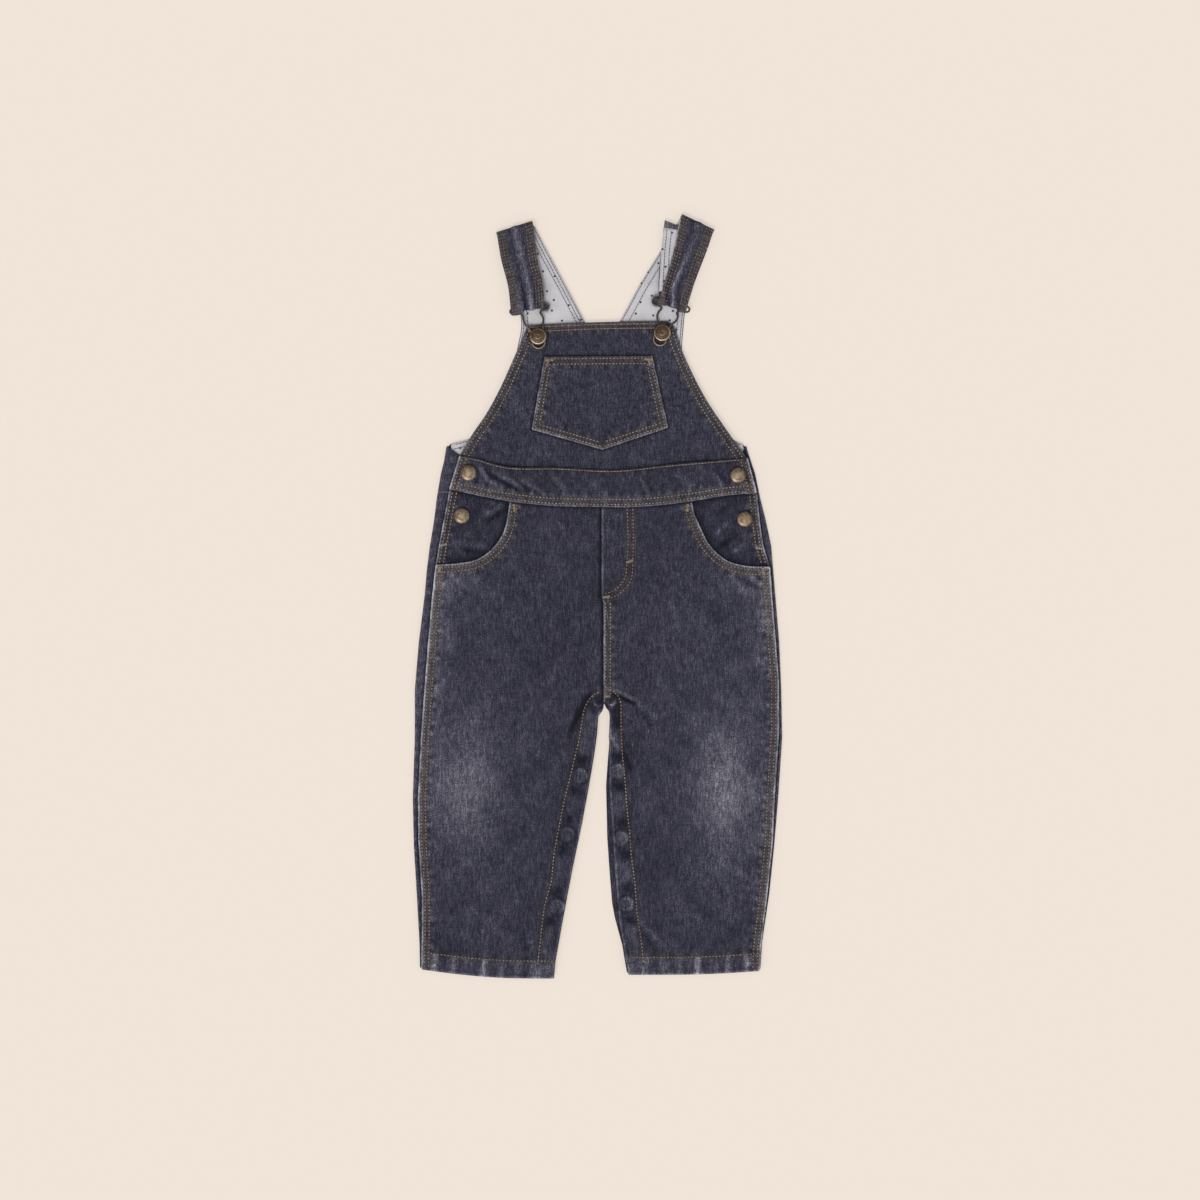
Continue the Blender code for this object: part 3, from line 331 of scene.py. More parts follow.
STRAPS = {
    "left": {
        "start": (-73.2, 262.4, -44.9, 271.4),
        "shoulder": (-76.3, 272.4, -49.5, 281.0),
        "front": ((-72.4, 252.0, -46.2, 256.0), (-66.9, 230.0, -41.4, 233.0)),
        "turn": (-64.8, 211.9, -40.1, 215.6),
        "return": ((-60.8, 222.0, -42.0, 224.6), (-66.8, 248.0, -47.6, 254.0), (-68.6, 256.0, -49.4, 262.0)),
        "crease": ((0.0, 0.50), (0.35, 0.58), (0.65, 0.57), (1.0, 0.62)),
        "bulge": (2.4, 0.0),
        "rims": ((0.0, 0.2, 0.3), (1.0, 0.1, 0.2)),
        "ridge": ((0.0, 0.6, 3.0), (0.5, 0.6, 2.6), (1.0, 0.9, 2.2)),
    },
    "right": {
        "start": (56.3, 274.7, 82.3, 260.6),
        "shoulder": (62.9, 286.2, 87.2, 274.4),
        "front": ((56.6, 258.0, 77.6, 250.6), (49.6, 234.0, 70.4, 229.0)),
        "turn": (45.2, 218.4, 66.0, 213.6),
        "return": ((45.4, 226.5, 64.6, 222.5), (47.4, 259.0, 69.0, 254.0), (49.9, 281.4, 72.5, 272.6)),
        "crease": ((0.0, 0.55), (0.3, 0.50), (0.5, 0.42), (0.65, 0.37), (0.8, 0.34), (1.0, 0.50)),
        "bulge": (0.0, 2.2),
        "rims": ((0.0, 1.3, 0.2), (0.35, 0.7, 0.2), (1.0, 0.2, 0.2)),
        "ridge": ((0.0, 0.1, 2.5), (0.4, 0.2, 1.6), (0.55, 1.0, 1.0), (1.0, 1.0, 1.0)),
    },
}
END_LINING_ROWS = ((273.0, 48.9, 66.0), (259.0, 47.4, 67.5), (228.0, 45.6, 62.5))

WIRE_RADIUS = 0.75
BAR_Z = 5.1
KEYHOLE_Z = 5.5
BUCKLES = {
    "left": {
        "bar": ((-38.5, 218.5), (-64.2, 214.6)),
        "left side": (
            (-65.6, 213.6, 5.1), (-65.5, 211.9, 5.1), (-64.0, 210.7, 5.1), (-61.0, 210.6, 5.1),
            (-58.0, 210.9, 5.15), (-56.4, 209.6, 5.2), (-56.0, 207.0, 5.3), (-55.2, 204.6, 5.4),
            (-53.4, 201.8, 5.5), (-50.6, 198.4, 5.5), (-49.2, 195.0, 5.5),
        ),
        "lobe": (-44.5, 190.0, 4.7),
        "right side": (
            (-40.4, 195.0, 5.5), (-40.9, 199.0, 5.5), (-41.3, 203.6, 5.4), (-40.9, 207.4, 5.3),
            (-42.2, 210.4, 5.2), (-43.2, 212.4, 5.1), (-42.2, 213.8, 5.1), (-39.8, 214.1, 5.1),
            (-37.8, 215.0, 5.1), (-37.2, 216.8, 5.1),
        ),
    },
    "right": {
        "bar": ((67.3, 216.4), (42.6, 222.0)),
        "left side": (
            (41.2, 221.6, 5.1), (40.8, 219.8, 5.1), (42.0, 218.2, 5.1), (44.4, 217.3, 5.1),
            (46.9, 216.6, 5.15), (47.4, 215.0, 5.2), (45.8, 213.0, 5.25), (44.4, 210.4, 5.3),
            (44.4, 207.6, 5.4), (45.0, 204.4, 5.5), (44.4, 200.0, 5.5), (43.4, 197.0, 5.5),
        ),
        "lobe": (46.4, 192.1, 4.7),
        "right side": (
            (52.4, 197.0, 5.5), (53.2, 200.0, 5.5), (54.6, 202.6, 5.5), (58.0, 205.4, 5.4),
            (59.7, 208.8, 5.3), (59.0, 211.6, 5.2), (60.4, 213.3, 5.1), (62.6, 213.2, 5.1),
            (65.6, 212.4, 5.1), (67.9, 213.0, 5.1), (68.5, 214.9, 5.1),
        ),
    },
}

SHORT_NECK = 0.9
BIB_NECK = KEYHOLE_Z + WIRE_RADIUS + GAP - 4.75
BUTTONS = (
    ("bib_button_left", -44.8, 194.3, 6.5, 4.45, BIB_NECK),
    ("bib_button_right", 48.0, 197.0, 6.6, 4.45, BIB_NECK),
    ("waist_button_left", -96.8, 92.0, 6.1, WAIST_REST + CLOTH, SHORT_NECK),
    ("waist_button_right", 104.6, 90.2, 6.0, WAIST_REST + CLOTH, SHORT_NECK),
    ("hip_button_left", -101.9, 60.0, 6.0, FRONT_REST + CLOTH, SHORT_NECK),
    ("hip_button_right", 109.7, 57.5, 5.9, FRONT_REST + CLOTH, SHORT_NECK),
)

# Bar tacks: x, y, angle from +X in degrees, length
TACKS = {
    "bib_pocket": (
        (-36.6, 176.6, 0.0, 7.0),
        (-37.6, 174.2, 80.0, 6.0),
        (37.6, 177.2, 0.0, 7.0),
        (38.4, 174.8, 100.0, 6.0),
    ),
    "front_left": (
        (-62.6, 66.0, 95.0, 6.0),
        (-118.4, 20.6, 80.0, 6.0),
    ),
    "front_right": (
        (67.0, 66.0, 85.0, 6.0),
        (123.6, 18.6, 100.0, 6.0),
        (23.8, 26.0, 20.0, 5.5),
        (6.4, -0.6, 10.0, 5.0),
        (6.9, -75.0, 0.0, 5.0),
    ),
    "pocket_facing_left": ((-115.6, 38.3, 15.0, 5.0),),
    "pocket_facing_right": ((120.2, 36.0, 165.0, 5.0),),
}


def centred(x, y, z):
    return Vector(((x - CENTRE_X) * MM, (y - CENTRE_Y) * MM, z * MM))


def column_at(rows, y, column):
    table = np.array(rows)[::-1]
    return np.interp(y, table[:, 0], table[:, column])


def curve_through(points, step):
    """Points no more than step apart on a smooth curve through the given ones, flat or in space."""
    given = np.array(points, float)
    chord = np.linalg.norm(np.diff(given, axis=0), axis=1)
    secant = np.diff(given, axis=0) / chord[:, None]
    slope = np.vstack((secant[:1], secant))
    for i in range(1, len(given) - 1):
        before, after = chord[i - 1], chord[i]
        slope[i] = (secant[i - 1] * after + secant[i] * before) / (before + after)
    traced = []
    for i, length in enumerate(chord):
        count = max(1, math.ceil(length / step))
        for k in range(count):
            t = k / count
            start = (2 * t ** 3 - 3 * t ** 2 + 1) * given[i] + (t ** 3 - 2 * t ** 2 + t) * length * slope[i]
            end = (3 * t ** 2 - 2 * t ** 3) * given[i + 1] + (t ** 3 - t ** 2) * length * slope[i + 1]
            traced.append(start + end)
    traced.append(given[-1])
    return np.array(traced)


def rows_line(rows, column, top, bottom, step):
    count = max(2, math.ceil(abs(top - bottom) / step) + 1)
    y = np.linspace(top, bottom, count)
    return np.column_stack((column_at(rows, y, column), y))


def joined(*edges):
    outline = []
    for edge in edges:
        for point in np.array(edge, float):
            if not outline or np.hypot(*(point - outline[-1])) > 0.2:
                outline.append(point)
    if np.hypot(*(outline[0] - outline[-1])) <= 0.2:
        outline.pop()
    return np.array(outline)


def dense(line, step):
    """The same open line with straight steps no longer than step."""
    line = np.array(line, float)
    parts = []
    for start, end in zip(line[:-1], line[1:]):
        count = max(1, math.ceil(np.linalg.norm(end - start) / step))
        parts.append(start + (end - start) * (np.arange(count) / count)[:, None])
    parts.append(line[-1:])
    return np.vstack(parts)


def along(points, line):
    """Distance from each point to an open line, and how far along it the nearest place is."""
    nearest = np.full(len(points), 1e9)
    position = np.zeros(len(points))
    travelled = 0.0
    for start, end in zip(line[:-1], line[1:]):
        step = end - start
        length = max(float(np.hypot(*step)), 1e-9)
        t = np.clip((points - start) @ step / length ** 2, 0.0, 1.0)
        off = np.hypot(*(points - start - t[:, None] * step).T)
        closer = off < nearest
        nearest = np.where(closer, off, nearest)
        position = np.where(closer, travelled + t * length, position)
        travelled += length
    return nearest, position


def distance_to(points, line):
    return along(points, line)[0]


def inside(points, outline):
    x, y = points.T
    result = np.zeros(len(points), bool)
    for (x1, y1), (x2, y2) in zip(outline, np.roll(outline, -1, axis=0)):
        crosses = (y1 > y) != (y2 > y)
        at = x1 + (y - y1) / (y2 - y1 if y2 != y1 else 1e-9) * (x2 - x1)
        result ^= crosses & (x < at)
    return result


def shifted(line, distance):
    """An open line moved to the left of its direction, or to the right where distance is negative."""
    line = np.array(line, float)
    direction = np.gradient(line, axis=0)
    direction /= np.hypot(*direction.T)[:, None]
    return line + distance * np.column_stack((-direction[:, 1], direction[:, 0]))


def fold_height(points, folds):
    height = np.zeros(len(points))
    for x1, y1, x2, y2, rise, width in folds:
        start, step = np.array((x1, y1)), np.array((x2 - x1, y2 - y1))
        t = (points - start) @ step / (step @ step)
        off = np.hypot(*(points - start - np.clip(t, 0, 1)[:, None] * step).T)
        ends = np.clip(np.minimum(t, 1 - t) * 3 + 0.4, 0, 1)
        height += rise * ends * np.where(off < width / 2, np.cos(np.pi * off / width) ** 2, 0.0)
    return height


def lap(distance, flat, end):
    t = np.clip((end - distance) / (end - flat), 0.0, 1.0)
    return t * t * (3 - 2 * t)


def ripple(s, wave, seed=0.0):
    """An uneven wave of about the given length, between -1 and 1."""
    k = 2 * math.pi / wave
    return (
        0.5 * np.sin(k * s + 3.1 * seed)
        + 0.3 * np.sin(0.618 * k * s + 5.7 * seed + 1.3)
        + 0.2 * np.sin(1.732 * k * s + 1.9 * seed + 0.4)
    )


def beat_of(s, wave, seed=0.0):
    """The same wave, between 0 and 1."""
    return 0.5 + 0.5 * ripple(s, wave, seed)


def bell(off, width, power=2):
    """One in the middle, falling smoothly to nothing past the width, with a flatter top at a high power."""
    return np.exp(-((off / width) ** power))


def unevenness(points, size, seed=0.0):
    """A soft uneven field over the cloth, between -1 and 1."""
    x, y = points.T / size
    warp_x = x + 0.35 * np.sin(1.7 * y + seed)
    warp_y = y + 0.35 * np.sin(1.3 * x - 2.1 * seed)
    return (
        np.sin(2.1 * warp_x + 0.7 * seed) * np.cos(1.9 * warp_y + seed)
        + 0.5 * np.sin(4.3 * warp_x + 3.1 * warp_y + 2.3 * seed)
        + 0.3 * np.sin(7.1 * warp_y - 5.3 * warp_x + 4.1 * seed)
    ) / 1.8


def bump_on_line(points, line, width):
    return bell(distance_to(points, line), width)


def fill_outline(outline, spacing, guides=()):
    low, high = outline.min(axis=0), outline.max(axis=0)
    row_step = spacing * math.sqrt(3) / 2
    grid = []
    for row, y in enumerate(np.arange(low[1] + row_step / 2, high[1], row_step)):
        x = np.arange(low[0] + (row % 2) * spacing / 2, high[0], spacing)
        grid.append(np.column_stack((x, np.full(len(x), y))))
    grid = np.vstack(grid)
    grid = grid[inside(grid, outline)]
    closed = np.vstack((outline, outline[:1]))
    grid = grid[distance_to(grid, closed) > spacing * 0.5]
    for guide in guides:
        grid = grid[distance_to(grid, guide) > spacing * 0.4]
    points = [Vector(point) for point in outline]
    edges = []
    for guide in guides:
        first = len(points)
        points += [Vector(point) for point in guide]
        edges += [(k, k + 1) for k in range(first, len(points) - 1)]
    points += [Vector(point) for point in grid]
    filled = delaunay_2d_cdt(points, edges, [list(range(len(outline)))], 1, 1e-5)
    flat = np.array([(point.x, point.y) for point in filled[0]])
    return flat, filled[2]


def runs_of(line, keep, apart=0.0):
    """The stretches of a line that are kept, without points closer than apart to the one before."""
    runs = [[]]
    for point, kept in zip(line, keep):
        if not kept:
            runs.append([])
        elif not runs[-1] or np.hypot(*(point - runs[-1][-1])) >= apart:
            runs[-1].append(point)
    return [np.array(run) for run in runs if len(run) > 1]


def rim_guides(outline):
    """Rows of points just inside an outline, so that its rubbed rim can be narrow."""
    closed = np.vstack((outline[-1:], outline, outline[:1]))
    area = np.dot(closed[:-1, 0], closed[1:, 1]) - np.dot(closed[1:, 0], closed[:-1, 1])
    inward = 1.0 if area > 0 else -1.0
    guides = []
    for step in RIM_STEPS:
        row = shifted(closed, inward * step)[1:-1]
        keep = (distance_to(row, closed) > step * RIM_SHARE) & inside(row, outline)
        guides += runs_of(row, keep, RIM_APART)
    return guides


def inner_rows(line, outline, clear=0.8):
    """The stretches of a line that lie inside an outline, clear of its edge."""
    closed = np.vstack((outline, outline[:1]))
    return runs_of(line, inside(line, outline) & (distance_to(line, closed) > clear))


def rows_inside(rows, outline, clear=0.8):
    return [run for row in rows for run in inner_rows(row, outline, clear)]


# Materials


def feed(tree, node, values):
    """Sets a node's inputs, by name or number, or links another node's output to them."""
    for name, value in values.items():
        if hasattr(value, "links"):
            tree.links.new(value, node.inputs[name])
        else:
            node.inputs[name].default_value = value
    return node


def add_node(tree, kind, values):
    return feed(tree, tree.nodes.new("ShaderNode" + kind), values)


def mixed(tree, factor, first, second):
    node = tree.nodes.new("ShaderNodeMix")
    node.data_type = "RGBA"
    return feed(tree, node, {0: factor, 6: first, 7: second}).outputs[2]


def math_node(tree, operation, *values, clamp=False):
    node = add_node(tree, "Math", dict(enumerate(values)))
    node.operation = operation
    node.use_clamp = clamp
    return node.outputs[0]


def plus(tree, first, second):
    return math_node(tree, "ADD", first, second)


def minus(tree, first, second, clamp=False):
    return math_node(tree, "SUBTRACT", first, second, clamp=clamp)


def times(tree, first, second):
    return math_node(tree, "MULTIPLY", first, second)


def weighted(tree, first, share, second, other_share):
    return plus(tree, times(tree, first, share), times(tree, second, other_share))


def noise(tree, coordinates, scale, detail=2.0, roughness=0.5):
    """Noise whose three scales are given in waves per metre."""
    mapping = add_node(tree, "Mapping", {"Scale": scale, "Vector": coordinates})
    look = {"Scale": 1.0, "Detail": detail, "Roughness": roughness, "Vector": mapping.outputs[0]}
    return add_node(tree, "TexNoise", look).outputs[0]


def attribute(tree, name):
    node = tree.nodes.new("ShaderNodeAttribute")
    node.attribute_name = name
    return node.outputs["Fac"]


def ramp(tree, factor, stops):
    node = add_node(tree, "ValToRGB", {0: factor})
    elements = node.color_ramp.elements
    while len(elements) < len(stops):
        elements.new(0.5)
    for element, (position, colour) in zip(elements, stops):
        element.position = position
        element.color = (*colour, 1.0)
    return node.outputs[0]


def new_material(name, roughness, metallic=0.0):
    material = bpy.data.materials.new(name)
    material.use_nodes = True
    tree = material.node_tree
    shader = feed(tree, tree.nodes["Principled BSDF"], {"Roughness": roughness, "Metallic": metallic})
    return material, tree, shader, tree.nodes.new("ShaderNodeTexCoord").outputs["Object"]


def add_bump(tree, shader, height, distance, strength):
    bump = add_node(tree, "Bump", {"Distance": distance, "Strength": strength, "Height": height})
    feed(tree, shader, {"Normal": bump.outputs[0]})


DENIM_STOPS = (
    (0.0, (0.008, 0.008, 0.014)),
    (0.2, (0.016, 0.016, 0.028)),
    (0.36, (0.031, 0.0305, 0.0485)),
    (0.55, (0.070, 0.069, 0.096)),
    (0.75, (0.165, 0.162, 0.200)),
    (0.9, (0.33, 0.33, 0.375)),
    (1.0, (0.50, 0.50, 0.54)),
)
BAND_STOPS = (
    (0.0, (0.020, 0.015, 0.016)),
    (0.2, (0.034, 0.027, 0.029)),
    (0.36, (0.054, 0.044, 0.048)),
    (0.6, (0.120, 0.104, 0.108)),
    (0.85, (0.29, 0.275, 0.29)),
    (1.0, (0.48, 0.47, 0.49)),
)
LINING_STOPS = (
    (0.1, (0.34, 0.33, 0.355)),
    (0.42, (0.56, 0.545, 0.57)),
    (0.8, (0.72, 0.705, 0.73)),
)
BASE_TONE = 0.355
STREAK_TONE = 1.5
METALLIC = 0.85
# The wire's colour changes between these heights up the garment, in metres: below them it is painted brass as
# a highlight.
WIRE_HIGHLIGHT_Y = (0.203, 0.197)


def denim_material():
    """Washed twill: upright slub streaks, soft blotches, a fine diagonal rib, pale places that are partly
    rubbed cloth and partly painted highlight, and painted shade.
    """
    material, tree, shader, coordinates = new_material("denim", 0.9)
    slub = noise(tree, coordinates, (1050.0, 200.0, 300.0), 2.0, 0.55)
    fine = noise(tree, coordinates, (1400.0, 1050.0, 800.0), 2.0, 0.6)
    weft = noise(tree, coordinates, (120.0, 620.0, 300.0), 2.0, 0.5)
    blotch = noise(tree, coordinates, (120.0, 76.0, 100.0), 3.0, 0.6)
    cloud = noise(tree, coordinates, (26.0, 18.0, 26.0), 2.0, 0.5)
    streaks = minus(tree, weighted(tree, slub, 0.42, fine, 0.58), 0.5)
    wear_and_light = attribute(tree, "wear_and_highlight")
    dark = attribute(tree, "shade")
    tone = math_node(tree, "MULTIPLY_ADD", streaks, STREAK_TONE, BASE_TONE)
    for field, share in ((blotch, 0.17), (cloud, 0.14), (weft, 0.16)):
        tone = plus(tree, tone, times(tree, minus(tree, field, 0.5), share))
    tone = plus(tree, tone, times(tree, times(tree, streaks, wear_and_light), 0.25))
    # Pale places: partly rubbed cloth and partly painted highlight.
    tone = plus(tree, tone, times(tree, wear_and_light, 0.5))
    # The shade attribute darkens the cloth with painted shade and shadow, and some uneven tone.
    tone = minus(tree, tone, times(tree, dark, 0.30), True)
    band = times(tree, attribute(tree, "warm"), 0.85)
    cloth = mixed(tree, band, ramp(tree, tone, DENIM_STOPS), ramp(tree, tone, BAND_STOPS))
    feed(tree, shader, {"Base Color": cloth, "Specular IOR Level": 0.14})
    slant = (0.0, 0.0, math.radians(28.0))
    mapping = add_node(tree, "Mapping", {"Rotation": slant, "Vector": coordinates})
    look = {"Scale": 330.0, "Distortion": 1.5, "Detail": 1.0, "Vector": mapping.outputs[0]}
    twill = add_node(tree, "TexWave", look).outputs[1]
    add_bump(tree, shader, plus(tree, times(tree, twill, 0.35), streaks), 0.0003, 0.7)
    return material


def lining_material():
    """Pale cotton printed with small dark dots at uneven places."""
    material, tree, shader, coordinates = new_material("lining", 0.9)
    weave = noise(tree, coordinates, (900.0, 900.0, 900.0), 2.0)
    cloud = noise(tree, coordinates, (40.0, 40.0, 40.0), 2.0)
    tone = weighted(tree, weave, 0.35, cloud, 0.65)
    # Painted shade from the shade attribute darkens the cotton.
    tone = minus(tree, tone, times(tree, attribute(tree, "shade"), 0.5))
    pale = ramp(tree, tone, LINING_STOPS)
    turned = {"Scale": (1.0, 1.0, 0.0), "Rotation": (0.0, 0.0, 0.6), "Vector": coordinates}
    mapping = add_node(tree, "Mapping", turned)
    cells = tree.nodes.new("ShaderNodeTexVoronoi")
    cells.voronoi_dimensions = "2D"
    feed(tree, cells, {"Scale": 92.0, "Randomness": 0.62, "Vector": mapping.outputs[0]})
    # The deepest painted shade, inside the buckles' loops, turns near black.
    deep = minus(tree, attribute(tree, "shade"), 0.75, clamp=True)
    pale = mixed(tree, deep, pale, (0.035, 0.034, 0.042, 1.0))
    dot = math_node(tree, "LESS_THAN", cells.outputs["Distance"], 0.080)
    feed(tree, shader, {"Base Color": mixed(tree, dot, pale, (0.055, 0.054, 0.075, 1.0))})
    add_bump(tree, shader, weave, 0.0002, 0.5)
    return material


def thread_material(name, low, high):
    """Twisted thread, each stitch a little lighter or darker than the next."""
    material, tree, shader, coordinates = new_material(name, 0.7)
    fuzz = noise(tree, coordinates, (2200.0, 2200.0, 2200.0), 2.0)
    tone = weighted(tree, attribute(tree, "tone"), 0.7, fuzz, 0.3)
    middle = tuple(math.sqrt(a * b) for a, b in zip(low, high))
    colour = ramp(tree, tone, ((0.1, low), (0.45, middle), (0.9, high)))
    feed(tree, shader, {"Base Color": colour, "Specular IOR Level": 0.2})
    add_bump(tree, shader, fuzz, 0.0001, 0.6)
    return material


def metal_material(name, dark, mid, light, roughness):
    """Aged metal: tarnish in the hollows, and brighter rims and dome tops from the tone, partly rubbed metal
    and partly painted highlight.
    """
    material, tree, shader, coordinates = new_material(name, roughness, METALLIC)
    patina = noise(tree, coordinates, (420.0, 420.0, 420.0), 4.0, 0.65)
    tone = weighted(tree, patina, 0.55, attribute(tree, "tone"), 0.6)
    colour = ramp(tree, tone, ((0.15, dark), (0.5, mid), (0.95, light)))
    rough = math_node(tree, "MULTIPLY_ADD", patina, 0.3, roughness - 0.12)
    feed(tree, shader, {"Base Color": colour, "Roughness": rough})
    add_bump(tree, shader, patina, 0.0002, 0.5)
    return material


def wire_material():
    """Dark wire whose lower loop is painted brass as a highlight."""
    material, tree, shader, coordinates = new_material("dark_wire", 0.42, METALLIC)
    height = add_node(tree, "SeparateXYZ", {0: coordinates}).outputs["Y"]
    above, below = WIRE_HIGHLIGHT_Y
    span = add_node(tree, "MapRange", {"Value": height, "From Min": above, "From Max": below})
    # Painted brass highlight on the lower loop.
    dark, brass = (0.075, 0.068, 0.064, 1.0), (0.26, 0.19, 0.13, 1.0)
    feed(tree, shader, {"Base Color": mixed(tree, span.outputs["Result"], dark, brass)})
    return material


# Pieces


def dress(piece, slot, *nodes):
    """The piece rides on the garment's one body and stands for its nodes. The slot is not used."""
    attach(piece, "root")
    if nodes:
        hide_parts(*nodes)


def new_object(name, mesh, material):
    item = bpy.data.objects.new(name, mesh)
    mesh.materials.append(material)
    bpy.context.scene.collection.objects.link(item)
    return item


def set_values(mesh, name, values):
    data = mesh.attributes.new(name, "FLOAT", "POINT")
    data.data.foreach_set("value", np.asarray(values, np.float32))


def brown_share(flat, rows):
    """How much of the cloth's colour is thread, most on and between the stitched rows."""
    share = np.zeros(len(flat))
    for row in rows:
        share += 0.7 * bell(distance_to(flat, row[::2]), 2.0)
    return np.clip(share, 0.0, 0.8)


def add_cloth(node, mesh, material, offset):
    """A wall of cloth that stands for a node, laid on the side of its mesh that the offset gives."""
    mesh.shade_smooth()
    item = new_object(node + "_cloth", mesh, material)
    wall = item.modifiers.new("Cloth", "SOLIDIFY")
    wall.thickness = CLOTH * MM
    wall.offset = offset
    dress(item, "lining" if "lining" in node else "denim", node)
    return item


def add_sheet(node, outline, spacing, place, looks, material, guides=(), rows=(), skin_out=False):
    """A cloth shell: place gives the laid points, and looks the pale and the dark share of each, the pale one
    rubbed cloth and painted highlight, the dark one mostly painted shade.
    """
    flat, faces = fill_outline(outline, spacing, guides)
    laid = place(flat)
    mesh = bpy.data.meshes.new(node)
    mesh.from_pydata([centred(*point) for point in laid], [], faces)
    wear_and_light, dark = looks(flat)
    set_values(mesh, "wear_and_highlight", np.clip(wear_and_light, 0.0, 1.3))
    set_values(mesh, "shade", np.clip(dark, 0.0, 1.6))
    set_values(mesh, "warm", brown_share(flat, rows))
    shape = bmesh.new()
    shape.from_mesh(mesh)
    bmesh.ops.recalc_face_normals(shape, faces=shape.faces)
    upward = sum(face.normal.z * face.calc_area() for face in shape.faces)
    if (upward > 0) == skin_out:
        bmesh.ops.reverse_faces(shape, faces=shape.faces)
    shape.to_mesh(mesh)
    shape.free()
    item = add_cloth(node, mesh, material, -1.0 if skin_out else 1.0)


STITCH_SIDES = 6
STITCH_RINGS = (-1.0, -0.8, -0.35, 0.35, 0.8, 1.0)
STITCH_LENGTH = 1.8
STITCH_GAP = 0.8
HOLE_LENGTH = 0.62
HOLE_WIDTH = 0.52
HOLE_RISE = 0.11
HOLE_SINK = 0.05


class StitchPile:
    """Collects stitches, each a short bowed thread, and dark domes between them that paint the shade in the
    needle holes.
    """

    def __init__(self, name, material, hole_shade_material, radius):
        self.name = name
        self.material = material
        self.hole_shade_material = hole_shade_material
        self.radius = radius
        self.points = []
        self.faces = []
        self.tones = []
        self.hole_points = []
        self.holes = []

    def add(self, start, end, up, extra=0.0):
        """One stitch between two points on the cloth's outer face."""
        start, end, up = (np.array(v, float) for v in (start, end, up))
        direction = end - start
        half = np.linalg.norm(direction) / 2
        direction /= 2 * half
        across = np.cross(up, direction)
        across /= np.linalg.norm(across)
        up = np.cross(direction, across)
        first = len(self.points)
        wear_and_light = 0.5 * unevenness(start[None, :2], 21.0, 3.0)[0]
        tone = 0.46 + extra + 0.24 * math.sin(12.9898 * start[0] + 78.233 * start[1]) + wear_and_light * 0.5
        for ring in STITCH_RINGS:
            centre = (start + end) / 2 + direction * ring * half
            centre = centre + up * self.radius * (0.55 - 1.1 * ring ** 4)
            thickness = self.radius * math.sqrt(max(0.0, 1.08 - ring ** 6))
            for k in range(STITCH_SIDES):
                angle = 2 * math.pi * k / STITCH_SIDES
                spoke = across * math.cos(angle) + up * 0.7 * math.sin(angle)
                self.points.append(centre + thickness * spoke)
                self.tones.append(tone)
        rings = len(STITCH_RINGS)
        for ring in range(rings - 1):
            for k in range(STITCH_SIDES):
                a = first + ring * STITCH_SIDES + k
                b = first + ring * STITCH_SIDES + (k + 1) % STITCH_SIDES
                self.faces.append((a, b, b + STITCH_SIDES, a + STITCH_SIDES))
        self.faces.append([first + k for k in reversed(range(STITCH_SIDES))])
        last = first + (rings - 1) * STITCH_SIDES
        self.faces.append([last + k for k in range(STITCH_SIDES)])

    def pierce(self, centre, direction, up):
        """Painted shade where the needle went through: a dark shallow dome just proud of the cloth."""
        across = np.cross(up, direction)
        first = len(self.hole_points)
        self.hole_points.append(centre + up * HOLE_RISE)
        for k in range(STITCH_SIDES):
            angle = 2 * math.pi * k / STITCH_SIDES
            offset = direction * math.cos(angle) * HOLE_LENGTH + across * math.sin(angle) * HOLE_WIDTH
            self.hole_points.append(centre + offset - up * HOLE_SINK)
        for k in range(STITCH_SIDES):
            self.holes.append((first, first + 1 + k, first + 1 + (k + 1) % STITCH_SIDES))

    def run(self, line, length=STITCH_LENGTH, gap=STITCH_GAP, up=(0.0, 0.0, 1.0), holes=True, extra=0.0):
        """A row of stitches along a line of points on the cloth."""
        line = np.array(line, float)
        steps = np.linalg.norm(np.diff(line, axis=0), axis=1)
        travelled = np.concatenate(((0.0,), np.cumsum(steps)))
        ups = np.array(up, float)
        at = gap / 2

        def spot(s, values=line):
            return np.array([np.interp(s, travelled, values[:, k]) for k in range(3)])

        while at + length < travelled[-1]:
            facing = ups if ups.ndim == 1 else spot(at + length / 2, ups)
            self.add(spot(at), spot(at + length), facing, extra)
            if holes:
                before, after = spot(at - gap / 2 - 0.2), spot(at - gap / 2 + 0.2)
                direction = (after - before) / max(np.linalg.norm(after - before), 1e-6)
                self.pierce((before + after) / 2, direction, facing)
            at += length + gap

    def build(self, slot):
        mesh = bpy.data.meshes.new(self.name)
        mesh.from_pydata([centred(*point) for point in self.points], [], self.faces)
        set_values(mesh, "tone", self.tones)
        mesh.shade_smooth()
        dress(new_object(self.name, mesh, self.material), slot)
        if self.holes:
            mesh = bpy.data.meshes.new(self.name + "_holes")
            mesh.from_pydata([centred(*point) for point in self.hole_points], [], self.holes)
            dress(new_object(self.name + "_holes", mesh, self.hole_shade_material), slot)


def on_top(line, place):
    """A flat line lifted to the upper face of a laid piece."""
    laid = place(np.array(line, float))
    laid[:, 2] += CLOTH
    return laid


STITCH_CLEAR = 0.5
# Stitches that run into one another
CLOSE_SEWN = {"length": 2.4, "gap": 0.05, "holes": False}
DARK_TOP_SEWN = {**CLOSE_SEWN, "extra": -0.25}
UNDER_SEWN = {"length": 2.2, "gap": 0.6, "up": (0.0, 0.0, -1.0), "holes": False}
UNDER_THREAD_Z = 0.3
TACK_HALF_WIDTH = 1.05
TACK_STEP = 0.55
TACK_TONE = -0.12


def sew(pile, rows, place, outline, **stitches):
    """Rows of stitches on a piece's upper face, where they lie inside its outline."""
    for row in rows:
        for run in inner_rows(dense(row, 1.5), outline, STITCH_CLEAR):
            pile.run(on_top(run, place), **stitches)


def sew_under(pile, rows, outline):
    """Rows of stitches on the face that the garment lies on."""
    for row in rows:
        for run in inner_rows(dense(row, 3.0), outline, STITCH_CLEAR):
            laid = np.column_stack((run, np.full(len(run), UNDER_THREAD_Z)))
            pile.run(laid, **UNDER_SEWN)


